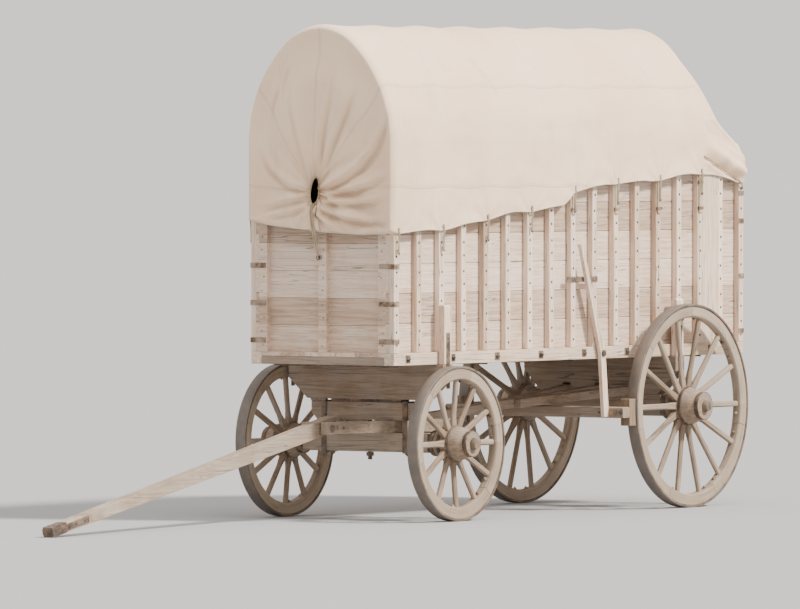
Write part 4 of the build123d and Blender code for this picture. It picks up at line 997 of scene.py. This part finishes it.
def mesh_from_grids(name):
    points, flat, hollow, faces = [], [], [], []

    def add(grid, places, painted_shade):
        first = len(points)
        points.extend(grid.reshape(-1, 3).tolist())
        flat.extend(places.reshape(-1, 2).tolist())
        hollow.extend(painted_shade.ravel().tolist())
        return np.arange(first, len(points)).reshape(grid.shape[:2])

    def quads(index):
        a, b, c, d = index[:-1, :-1], index[:-1, 1:], index[1:, 1:], index[1:, :-1]
        faces.extend(np.stack([a, b, c, d], -1).reshape(-1, 4).tolist())

    across = lengths(cloth, 1)
    ridge = [np.interp(0.0, -line[:, 1], run) for line, run in zip(cloth, across)]
    across -= np.array(ridge)[:, None]
    along = np.repeat(lengths(cloth[:, [ARCH_POINTS // 2]], 0), ARCH_POINTS, 1)
    # painted shade: darker where the long part sinks in between folds and along the crease
    sunk = unit(-height / 0.012 + 1.2 * crease) * (Z < 2.9)
    long_index = add(cloth, np.stack([along, across], -1), sunk)
    quads(long_index)
    left, right = slice(None, LOWER_POINTS), slice(-LOWER_POINTS, None)
    for face, painted_shade, row, sign in (
        (front_face, front_painted_shade, -1, 1.0),
        (rear_face, rear_painted_shade, 0, -1.0),
    ):
        edge_across = lengths(face[:1], 1)[0]
        edge_across += across[row, 0] - edge_across[LOWER_POINTS]
        inwards = lengths(face, 0) * sign + along[row, 0]
        places = np.stack([inwards, np.repeat(edge_across[None], len(face), 0)], -1)
        inner = add(face[1:], places[1:], painted_shade[1:])
        low_left = add(face[:1, left], places[:1, left], painted_shade[:1, left])
        low_right = add(face[:1, right], places[:1, right], painted_shade[:1, right])
        outer = np.concatenate([low_left, long_index[row][None], low_right], 1)
        index = np.concatenate([outer, inner], 0)
        quads(index if sign > 0 else index[:, ::-1])
    mesh = skin(name, points, faces)
    corner_points = np.zeros(len(mesh.loops), int)
    mesh.loops.foreach_get("vertex_index", corner_points)
    for layer_name, values in (("cloth", flat), ("painted_shade", np.column_stack([hollow, hollow]))):
        layer = mesh.uv_layers.new(name=layer_name)
        layer.data.foreach_set("uv", np.array(values)[corner_points].ravel())
    mesh.update()
    return mesh


sheet_mesh = mesh_from_grids("canvas_sheet")
sheet = into_scene("canvas_sheet", sheet_mesh)
sheet.data.materials.append(canvas)
sheet_area = sum(face.area for face in sheet_mesh.polygons)
print("sheet", len(sheet_mesh.polygons), "faces, area", round(sheet_area, 2), "m2")

# %% [markdown]
# The wagon carries the sheet: it is tied to the sides and lies on the bows. The frame's
# own plain cover stays only for weight and collision, so the sheet replaces it.

# %% The sheet rides on the wagon
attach(sheet, "wagon")
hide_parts("cover", "cover_front")
print("sheet replaces the plain cover")

# %% [markdown]
# ## Small parts by the hundred
# A wagon is held together by hundreds of bolts, nuts and straps. As separate objects they
# would swamp the scene, so each kind is gathered into one mesh: a batch collects the
# points and faces of small solids and turns them into one piece at the end.

# %% A batch of small solids
class Batch:
    """Many small solids that become one mesh."""

    def __init__(self):
        self.points, self.faces = [], []

    def add(self, points, faces):
        first = len(self.points)
        self.points += [tuple(point) for point in points]
        self.faces += [[first + i for i in face] for face in faces]

    def rings(self, rings, closed_ends=True, closed_loop=False):
        """Joins rings of equally many points into a skin."""
        sides, count = len(rings[0]), len(rings)
        faces = []
        for r in range(count if closed_loop else count - 1):
            here, after = r * sides, (r + 1) % count * sides
            for i in range(sides):
                j = (i + 1) % sides
                faces.append([here + i, here + j, after + j, after + i])
        if closed_ends and not closed_loop:
            faces += [list(range(sides))[::-1], [(count - 1) * sides + i for i in range(sides)]]
        self.add([point for ring in rings for point in ring], faces)

    def turned(self, place, axis, profile, sides=12, twist=0.0):
        """Turns (radius, height) pairs round an axis that starts at place."""
        axis = Vector(axis).normalized()
        first = axis.orthogonal().normalized()
        second = axis.cross(first)
        angles = [twist + 2 * pi * i / sides for i in range(sides)]
        self.rings([
            [Vector(place) + axis * up + (first * cos(a) + second * sin(a)) * radius for a in angles]
            for radius, up in profile
        ])

    def slab(self, corner, opposite):
        """A flat bar between two opposite corners."""
        (x0, x1), (y0, y1), (z0, z1) = (sorted(pair) for pair in zip(corner, opposite))
        self.rings([[(x, y0, z0), (x, y1, z0), (x, y1, z1), (x, y0, z1)] for x in (x0, x1)])

    def tube(self, path, radius, sides=8, closed=False):
        """A round bar or rope along a path of points."""
        path = [Vector(point) for point in path]
        count = len(path)
        rings, normal = [], None
        for i, point in enumerate(path):
            ahead = path[(i + 1) % count] if closed or i + 1 < count else point
            behind = path[i - 1] if closed or i > 0 else point
            along = (ahead - behind).normalized()
            normal = along.orthogonal() if normal is None else normal - along * normal.dot(along)
            normal.normalize()
            other = along.cross(normal)
            angles = [2 * pi * k / sides for k in range(sides)]
            rings.append([point + (normal * cos(a) + other * sin(a)) * radius for a in angles])
        self.rings(rings, closed_loop=closed)

    def bolt(self, place, axis, radius, height):
        """The low domed head of a carriage bolt."""
        dome = ((1.0, 0.0), (0.97, 0.35), (0.72, 0.8), (0.3, 1.0))
        self.turned(place, axis, [(radius * wide, height * up) for wide, up in dome])

    def nut(self, place, axis, across, height, washer, twist):
        """A square nut, on a round washer if that has a size, with the bolt's end showing."""
        lift = 0.0
        if washer:
            lift = WASHER_THICK
            self.turned(place, axis, [(washer, 0.0), (washer, lift)], 16)
        corner, bolt_r = across * 0.7071, across * 0.29
        top = lift + height
        nut = [(corner, lift), (corner, top - 0.002), (corner * 0.9, top)]
        bolt_end = [(bolt_r, top - 0.001), (bolt_r, top + 0.006), (bolt_r * 0.7, top + 0.008)]
        self.turned(place, axis, nut, 4, twist)
        self.turned(place, axis, bolt_end, 10)

    def piece(self, name, material, slot, body, bevel=0.0):
        """Makes the piece and puts it on its body; slot is not used."""
        mesh = skin(name, self.points, self.faces)
        mesh.set_sharp_from_angle(angle=radians(38))
        mesh.validate()
        made = into_scene(name, mesh)
        made.data.materials.append(material)
        if bevel:
            round_edges(made, bevel)
        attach(made, body)
        print(name, len(mesh.polygons), "faces")


WASHER_THICK = 0.003
SIDES = (("left", 1), ("right", -1))
chance = np.random.default_rng(11)


def any_turn():
    """A nut or a nail stands at whatever angle it was driven to."""
    return chance.uniform(0, 1.5)


print("batch ready")

# %% [markdown]
# Each side board is held to each rib by two rivets. Their domed heads show outside, and
# inside they are hammered over round washers. No two were set quite in line. Where the
# rack of the brake lies over the left side, the heads are under it and are left out.

# %% Rib rivets
RACK_XS, RACK_ZS = (-1.95, -1.52), (1.68, 1.765)
for word, side in SIDES:
    rivets = Batch()
    for rib_x in RIB_XS:
        for board in range(SIDE_BOARDS):
            for share in (0.27, 0.73):
                x = rib_x + chance.uniform(-0.004, 0.004)
                z = FLOOR_TOP + (board + share) * BOARD_PITCH + chance.uniform(-0.005, 0.005)
                by_rack = RACK_XS[0] < x < RACK_XS[1] and RACK_ZS[0] < z < RACK_ZS[1]
                if not (by_rack and side > 0):
                    rivets.bolt((x, side * RIB_FACE, z), (0, side, 0), 0.0095, 0.0052)
                washer = [(0.013, 0.0), (0.012, 0.002)]
                rivets.turned((x, side * box_low.y, z), (0, -side, 0), washer, 10)
    rivets.piece(f"rib_rivets_{word}", iron, "iron", "wagon")

# %% [markdown]
# Rods run across under the floor from sill to sill and keep the sides from spreading.
# Outside, only their ends show: a square plate and a square nut on each sill, midway
# between two ribs. A stake stands where a rod would be, and one plate would be under the
# brake lever, so these are left out.

# %% Tie rods of the sills
LEVER_XS = (-2.12, -1.85)
ROD_R, ROD_REACH, ROD_BELOW_SILL = 0.007, 0.545, 0.008
PLATE_THICK, PLATE_HALF = 0.004, 0.028
PLATE_BASE, PLATE_TOP, NUT_UP = SILL_BASE + 0.020, SILL_BASE + 0.074, SILL_BASE + 0.047

rod_xs = [(RIB_XS[i] + RIB_XS[i + 1]) / 2 for i in range(0, RIB_COUNT - 1, 2)]
rod_xs = [x for x in rod_xs if min(abs(x - FRONT_X), abs(x - REAR_X)) >= 0.10]
rod_nuts, rods = Batch(), Batch()
for side in (1, -1):
    face_y, plate_y = side * RIB_FACE, side * RIB_FACE + side * PLATE_THICK
    for x in rod_xs:
        if side < 0 or not LEVER_XS[0] < x < LEVER_XS[1]:
            rod_nuts.slab((x - PLATE_HALF, face_y, PLATE_BASE), (x + PLATE_HALF, plate_y, PLATE_TOP))
            rod_nuts.nut((x, plate_y, NUT_UP), (0, side, 0), 0.026, 0.013, 0, any_turn())
for x in rod_xs:
    rods.tube([(x, y, SILL_BASE - ROD_BELOW_SILL) for y in (-ROD_REACH, ROD_REACH)], ROD_R)
rod_nuts.piece("tie_rod_nuts", iron, "iron", "wagon")
rods.piece("tie_rods", iron, "iron", "wagon")

# %% [markdown]
# At each corner of the box, iron angles tie the side to the end, three or four high, each
# with a bolt through both legs.

# %% Corner irons
ANGLE_THICK, ANGLE_HEIGHT = 0.004, 0.036
# an end of the box, the way out from it, how far in the angle reaches and its heights
CORNERS = (
    (BOX_FRONT, 1, 0.500, (1.285, 1.555, 1.825)),
    (BOX_REAR, -1, 0.566, (1.285, 1.700, 2.115, 2.325)),
)
corner_irons = Batch()
for side in (1, -1):
    side_y, face_y = side * RIB_FACE, side * (RIB_FACE + ANGLE_THICK)
    for end_x, outwards, inner_y, levels in CORNERS:
        face_x, leg_x = end_x + outwards * ANGLE_THICK, end_x - outwards * RIB_WIDTH
        for z in levels:
            top, middle = z + ANGLE_HEIGHT, z + ANGLE_HEIGHT / 2
            side_bolt = (end_x - outwards * 0.031, face_y, middle)
            end_bolt = (face_x, side * (inner_y + 0.030), middle)
            corner_irons.slab((end_x, side * inner_y, z), (face_x, face_y, top))
            corner_irons.slab((end_x, side_y, z), (leg_x, face_y, top))
            corner_irons.bolt(side_bolt, (0, side, 0), 0.010, 0.005)
            corner_irons.bolt(end_bolt, (outwards, 0, 0), 0.010, 0.004)
corner_irons.piece("corner_irons", old_iron, "iron", "wagon", 0.001)

# %% [markdown]
# Each bow stands in a pair of iron staples on the outside of its rib. Where the sheet
# hangs lower than a staple, the staple is under the cloth and is left out.

# %% Bow staples
BOW_HALF, STAPLE_HALF, STAPLE_OUT, STAPLE_HALF_HIGH = 0.0225, 0.031, 0.0026, 0.011
# two legs and the bridge over the bow, as the two ends along x and the face that each starts on
STAPLE_PARTS = (
    (-STAPLE_HALF, -BOW_HALF - 0.0005, RIB_FACE),
    (BOW_HALF + 0.0005, STAPLE_HALF, RIB_FACE),
    (-STAPLE_HALF, STAPLE_HALF, bow_high.y + 0.0002),
)
staples = Batch()
for side in (1, -1):
    outer = side * (bow_high.y + STAPLE_OUT)
    for bow_x in BOW_XS:
        for z in (2.235, 2.430):
            if z > hem_height(bow_x, side) - 0.03:
                continue
            low_z, high_z = z - STAPLE_HALF_HIGH, z + STAPLE_HALF_HIGH
            for low_x, high_x, base_y in STAPLE_PARTS:
                staples.slab((bow_x + low_x, side * base_y, low_z), (bow_x + high_x, outer, high_z))
staples.piece("bow_staples", old_iron, "iron", "wagon", 0.0006)

# %% [markdown]
# The front end and the tailgate are boards nailed through their cleats. Cut nails have
# small square heads, so each head is a low four-sided block. The strap hinges of the
# tailgate are bolted.

# %% Nails of the ends
NAIL_HEAD = [(0.0075, 0.0), (0.006, 0.0022)]


def nail_boards(batch, face_x, outwards, cleat_ys, base_z, pitch):
    """Two nails through each board into each cleat."""
    for cleat_y in cleat_ys:
        for board in range(END_BOARDS):
            for share in (0.25, 0.75):
                y = cleat_y + chance.uniform(-0.012, 0.012)
                z = base_z + (board + share) * pitch + chance.uniform(-0.006, 0.006)
                batch.turned((face_x, y, z), (outwards, 0, 0), NAIL_HEAD, 4, any_turn())


nails, gate_nails = Batch(), Batch()
nail_boards(nails, BOX_FRONT, 1, (-0.525, 0.0, 0.525), end_low.z, FRONT_PITCH)
nails.piece("front_end_nails", old_iron, "iron", "wagon")
nail_boards(gate_nails, gate_low.x, -1, (-0.520, 0.520), gate_low.z, GATE_PITCH)
for hinge_y in (-0.350, 0.0, 0.350):
    for z in (1.29, 1.42, 1.55, 1.68, 1.775):
        gate_nails.bolt((BOX_REAR - 0.008, hinge_y, z), (-1, 0, 0), 0.011, 0.005)
gate_nails.piece("tailgate_bolts", iron, "iron", "tailgate_body")

# %% [markdown]
# Every felloe is bolted through the tyre on both sides of its joint, with the nut inside
# the rim. The nuts turn with their wheel, so each wheel has its own piece.

# %% Felloe nuts
TYRE_THICK, FELLOE_DEPTH = 0.018, 0.082
for end, (axle_x, radius, spokes) in WHEELS.items():
    inner_r = radius - TYRE_THICK - FELLOE_DEPTH - 0.0003
    for word, side in SIDES:
        nuts = Batch()
        for joint in range(spokes // 2):
            for off in (-0.075, 0.075):
                angle = -side * (2 * joint + 0.5) * 2 * pi / spokes + off / inner_r
                out = Vector((cos(angle), 0, sin(angle)))
                place = Vector((axle_x, side * HALF_TRACK, radius)) + out * (inner_r + 0.0005)
                nuts.nut(place, -out, 0.020, 0.009, 0.015, any_turn())
        nuts.piece(f"{end}_{word}_felloe_nuts", old_iron, "iron", f"wheel_{end}_{word}")

# %% [markdown]
# The front gear turns under the wagon: nuts close its axle clips from below, and bolts
# hold its hounds. They belong to the turning body.

# %% Irons of the front gear
clip_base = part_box("front_axle_clips")[0].z
hound_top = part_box("front_hounds")[1].z
gear_irons = Batch()
for side in (1, -1):
    for off in (-0.045, 0.045):
        place = (FRONT_X + off, side * 0.360, clip_base)
        gear_irons.nut(place, (0, 0, -1), 0.024, 0.012, 0, any_turn())
for side in (1, -1):
    for x, y in ((0.600, 0.086), (0.520, 0.086), (-0.367, 0.370)):
        gear_irons.nut((x, side * y, hound_top), (0, 0, 1), 0.024, 0.011, 0.019, any_turn())
    for x in (0.575, 0.655):
        gear_irons.bolt((x, side * 0.116, 0.675), (0, side, 0), 0.013, 0.006)
gear_irons.piece("front_gear_irons", iron, "iron", "front_gear")

# %% [markdown]
# The iron at the tip of the tongue is held by three bolts. The tongue slopes down to the
# ground, so they are placed along its own direction from its pin.

# %% Irons of the tongue
TONGUE_DROP, TONGUE_HALF = radians(11.177), 0.048
tongue_at = Vector((0.71781, 0.0, 0.675))
tongue_way = Vector((cos(TONGUE_DROP), 0, -sin(TONGUE_DROP)))
tongue_bolts = Batch()
for run in (2.925, 3.020, 3.110):
    for side in (1, -1):
        place = tongue_at + tongue_way * run + Vector((0, side * TONGUE_HALF, 0))
        tongue_bolts.bolt(place, (0, side, 0), 0.009, 0.005)
tongue_bolts.piece("tongue_bolts", iron, "iron", "tongue_body")

# %% [markdown]
# The stakes stand outside the box, and an iron strap with four bolts backs each of them.
# The brake's rack is bolted to the side, and its blocks and irons to the beam. All of that
# is fixed to the wagon, so it is one piece.

# %% Stake straps and brake bolts
STRAP_THICK, STRAP_HALF = 0.004, 0.022
stake_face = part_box("bolster_stakes")[1].y
beam_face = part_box("brake_beam")[1].x
straps = Batch()
for axle_x in (FRONT_X, REAR_X):
    for side in (1, -1):
        face_y = side * stake_face
        outer_y = face_y + side * STRAP_THICK
        straps.slab((axle_x - STRAP_HALF, face_y, 0.955), (axle_x + STRAP_HALF, outer_y, 1.36))
        for z in (0.985, 1.075, 1.215, 1.325):
            straps.bolt((axle_x, outer_y, z), (0, side, 0), 0.010, 0.005)
for x in (-1.887, -1.612):
    straps.bolt((x, 0.6393, 1.716), (0, 1, 0), 0.009, 0.005)
for side in (1, -1):
    for y in (0.735, 0.785):
        straps.nut((beam_face, side * y, 0.731), (1, 0, 0), 0.022, 0.011, 0.017, any_turn())
    straps.bolt((beam_face, side * 0.588, 0.731), (1, 0, 0), 0.010, 0.005)
straps.piece("stake_straps", iron, "iron", "wagon", 0.001)

# %% [markdown]
# ## Ropes
# Three kinds of rope work on the sheet, and all are pulled tight. A bolt rope is sewn into
# its whole edge. A draw rope gathers each end. Short ties hold the hem down at every bow,
# and a longer one pulls in each rear corner. A laid rope is three strands twisted together,
# so each outer rope is three thin tubes that wind round the line that it follows.

# %% Laid rope
def smooth_line(points, step):
    """Points close together on a smooth line through the given ones."""
    points = np.array(points, float)
    line = evenly(points, max(3, int(distances(points)[-1] / step)))
    for _ in range(4):
        line[1:-1] = (line[:-2] + 2 * line[1:-1] + line[2:]) / 4
    return line


def lay_rope(batch, points, radius):
    """Three strands wound round a line."""
    line = smooth_line(points, 0.004)
    tangent = np.gradient(line, axis=0)
    tangent /= np.linalg.norm(tangent, axis=1)[:, None]
    normal = np.array(Vector(tangent[0]).orthogonal().normalized())
    normals = []
    for way in tangent:
        normal = normal - way * normal.dot(way)
        normal /= np.linalg.norm(normal)
        normals.append(normal)
    normals = np.array(normals)
    others = np.cross(tangent, normals)
    for strand in range(3):
        turn = (distances(line) / (radius * 7.5) * 2 * pi + strand * 2 * pi / 3)[:, None]
        path = line + (normals * np.cos(turn) + others * np.sin(turn)) * radius * 0.5
        batch.tube(path, radius * 0.54, 5)


def loop(centre, across, up, count):
    """A ring of points round a centre."""
    turns = [2 * pi * i / count for i in range(count)]
    return [centre + across * cos(turn) + up * sin(turn) for turn in turns]


bolt_rope = Batch()
front_left, rear_left = front_face[0, :LOWER_POINTS], rear_face[0, LOWER_POINTS - 1 :: -1]
front_right, rear_right = front_face[0, : -LOWER_POINTS - 1 : -1], rear_face[0, -LOWER_POINTS:]
for hem in (
    np.concatenate([front_left, cloth[::-1, 0], rear_left]),
    np.concatenate([front_right, cloth[::-1, -1], rear_right]),
):
    bolt_rope.tube(smooth_line(hem, 0.02), 0.0050, 8)
bolt_rope.piece("hem_bolt_rope", canvas_hem, "canvas", "wagon")

# %% [markdown]
# Each draw rope lies round the neck of its end, just outside the hole. The front one's two
# ends hang down over the cloth, so they are placed by asking how far forward the cloth
# comes, and they are made fast to an iron ring on the front boards.

# %% Draw ropes
DRAW_RADIUS, TAIL_RADIUS, BESIDE = 0.0065, 0.0055, 0.022
DRAW_OUT = np.array([0.005, 0, 0])
DRAW_TAIL = ((-0.062, 2.262), (-0.058, 2.235), (-0.053, 2.20), (-0.048, 2.165), (-0.042, 2.13),
             (-0.037, 2.105))


def before_cloth(y, z):
    """The furthest forward the front face comes near (y, z)."""
    near = np.hypot(front_face[..., 1] - y, front_face[..., 2] - z) < BESIDE
    return float(front_face[..., 0][near].max())


draw_ropes = Batch()
front_ring = front_face[-COLLAR_RINGS - 1] + DRAW_OUT
rear_ring = rear_face[-COLLAR_RINGS - 1] - DRAW_OUT
bottom = front_ring[np.argmin(front_ring[:, 2])]
ring_place = Vector((end_high.x + 0.014, -0.020, 1.905))
lay_rope(draw_ropes, np.concatenate([front_ring, front_ring[:2]]), DRAW_RADIUS)
for y_off in (-0.009, 0.009):
    strand = [bottom + np.array([0.004, y_off, 0.004])]
    for y, z in DRAW_TAIL:
        strand.append((before_cloth(y + y_off, z) + 0.007, y + y_off, z))
    strand.append((strand[-1][0] - 0.006, -0.032 + y_off, 2.06))
    strand.append((ring_place.x + 0.006, -0.020 + y_off * 0.5, 1.915))
    lay_rope(draw_ropes, strand, TAIL_RADIUS)
lay_rope(draw_ropes, np.concatenate([rear_ring, rear_ring[:2]]), DRAW_RADIUS)
draw_ropes.piece("draw_ropes", rope, "rope", "wagon")

hooks = Batch()
plate = [(0.016, 0.0), (0.016, 0.004), (0.005, 0.006), (0.005, 0.02)]
hooks.turned(ring_place - Vector((0.014, 0, 0)), (1, 0, 0), plate, 12)
ring_centre = ring_place + Vector((0.002, 0, 0))
hooks.tube(loop(ring_centre, Vector((0, 0, 0.018)), Vector((0, 0.018, 0)), 20), 0.0035, 8, closed=True)

# %% [markdown]
# At every bow a short doubled tie runs from an iron grommet in the hem down to a hook on
# the rib. The longer tie of each rear corner lies in the hollow that it presses into the
# cloth, so it too is placed by asking how far out the cloth comes.

# %% Ties, hooks and grommets
HOOK_BELOW_HEM = 0.150
# a hook's line, outwards from the rib and up from its lowest part
HOOK_PATH = ((0.0, 0.030), (0.010, 0.028), (0.012, 0.004), (0.022, -0.004), (0.028, 0.010))
GROMMET_R, TIE_RADIUS, CORNER_TIE_RADIUS = 0.010, 0.0040, 0.0060


def beside_cloth(x, z, side):
    """The furthest out the long part comes near (x, z) on a side."""
    close = np.hypot(cloth[..., 0] - x, cloth[..., 2] - z) < BESIDE
    return float((cloth[..., 1] * side)[close & (cloth[..., 1] * side > 0.3)].max())


ties = Batch()
for side in (1, -1):
    tied_y = side * (RIB_FACE + 0.019)
    for bow_x in BOW_XS:
        hem = hem_height(bow_x, side)
        hook_z = hem - HOOK_BELOW_HEM
        hook = [(bow_x, side * (RIB_FACE + out), hook_z + up) for out, up in HOOK_PATH]
        grommet = Vector((bow_x, side * (HALF_WIDTH + 0.003), hem + 0.030))
        ring = loop(grommet, Vector((GROMMET_R, 0, 0)), Vector((0, 0, GROMMET_R)), 16)
        hooks.tube(hook, 0.0040)
        hooks.tube(ring, 0.0028, 6, closed=True)
        for off in (-0.006, 0.006):
            lay_rope(ties, [
                (bow_x + off * 0.3, side * (HALF_WIDTH + 0.006), hem + 0.028),
                (bow_x + off, side * (HALF_WIDTH + 0.009), hem - 0.004),
                (bow_x + off * 1.2, tied_y, hem - 0.060),
                (bow_x + off, tied_y, hook_z + 0.002),
            ], TIE_RADIUS)
for side in (1, -1):
    rear_tie = []
    for share in np.linspace(0, 0.96, 9):
        x, z = pull_from_x + pull_x * share, pull_from_z + pull_z * share
        rear_tie.append((x, side * (beside_cloth(x, z, side) + 0.003), z))
    rear_tie.append((-3.885, side * (RIB_FACE + 0.018), 2.395))
    rear_tie.append((-3.888, side * (RIB_FACE + 0.012), 2.385))
    lay_rope(ties, rear_tie, CORNER_TIE_RADIUS)
    hooks.bolt((-3.89, side * RIB_FACE, 2.380), (0, side, 0), 0.011, 0.020)
ties.piece("hem_ties", rope, "rope", "wagon")
hooks.piece("hem_hooks", old_iron, "iron", "wagon")

# %% [markdown]
# ## Floor, light and camera
# A floor that reaches the horizon keeps the ground plain. Its tone is worked out from the
# light that falls on it, so that it meets the background without an edge.

# %% Floor
FLOOR_REACH = 400.0
FLOOR_TONES = (0.3685, 0.368, 0.373), (0.3585, 0.358, 0.363)
floor_finish = Finish("studio_floor")
floor_patch = floor_finish.noise(floor_finish.place(), 0.35, 2, 0.5)
floor_colour = floor_finish.mix(floor_patch * 0.25, *FLOOR_TONES)
floor_finish.finish(floor_colour, 0.9 + floor_patch * 0.05, Specular_IOR_Level=0.1)
corners = [(FLOOR_REACH * x, FLOOR_REACH * y, 0.0) for x, y in ((-1, -1), (1, -1), (1, 1), (-1, 1))]
floor = into_scene("studio_floor", skin("studio_floor", corners, [(0, 1, 2, 3)]))
floor.data.materials.append(floor_finish.material)
floor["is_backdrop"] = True
print("floor", 2 * FLOOR_REACH, "m wide")

# %% [markdown]
# The sun of the photo stands high to the left and a little behind. A sun with a wide disc
# gives its soft shadows, a bright sky opens them, and a weak second sun lifts the top and
# the front.

# %% Light
SKY = (1.13, 1.08, 1.03, 1.0)
world = bpy.data.worlds.new("studio")
bpy.context.scene.world = world
world.use_nodes = True
world.node_tree.nodes["Background"].inputs["Color"].default_value = SKY
world.node_tree.nodes["Background"].inputs["Strength"].default_value = 1.0


def soft_sun(name, way, strength, spread, colour):
    """A distant round light; way points from the wagon towards it."""
    light = bpy.data.lights.new(name, "SUN")
    light.energy, light.angle, light.color = strength, radians(spread), colour
    sun = into_scene(name, light)
    sun.rotation_euler = Vector(way).to_track_quat("Z", "Y").to_euler()


soft_sun("key_light", (-0.22, 0.68, 0.70), 7.6, 8.0, (1.0, 0.95, 0.875))
soft_sun("top_light", (0.22, 0.30, 0.93), 0.9, 25.0, (0.98, 0.98, 1.0))
print("lights placed")

# %% [markdown]
# The picture was taken from far away with the camera near the ground, so a long lens
# stands well back and looks almost level.

# %% Camera
AZIMUTH, ELEVATION = radians(125.0), radians(1.1)
CAMERA_DISTANCE, LENS = 70.0, 432.0
LOOK_AT = Vector((-0.30, 0.0, 1.55))
back = Vector((sin(AZIMUTH) * cos(ELEVATION), -cos(AZIMUTH) * cos(ELEVATION), sin(ELEVATION)))
camera_data = bpy.data.cameras.new("camera")
camera_data.lens, camera_data.sensor_width = LENS, 36.0
camera = into_scene("camera", camera_data)
camera.location = LOOK_AT + back * CAMERA_DISTANCE
camera.rotation_euler = (-back).to_track_quat("-Z", "Y").to_euler()
camera_data.clip_end = 1000.0
bpy.context.scene.camera = camera
print("camera at", [round(v, 2) for v in camera.location])

# %% [markdown]
# The dressed wagon has to stay the size of the frame, so how far its box has grown past
# the frame's box is printed.

# %% Sizes and the end
visual_low, visual_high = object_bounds()
grown = [*(visual_high - cad_high), *(cad_low - visual_low)]
print("grown by", [round(v, 4) for v in grown])
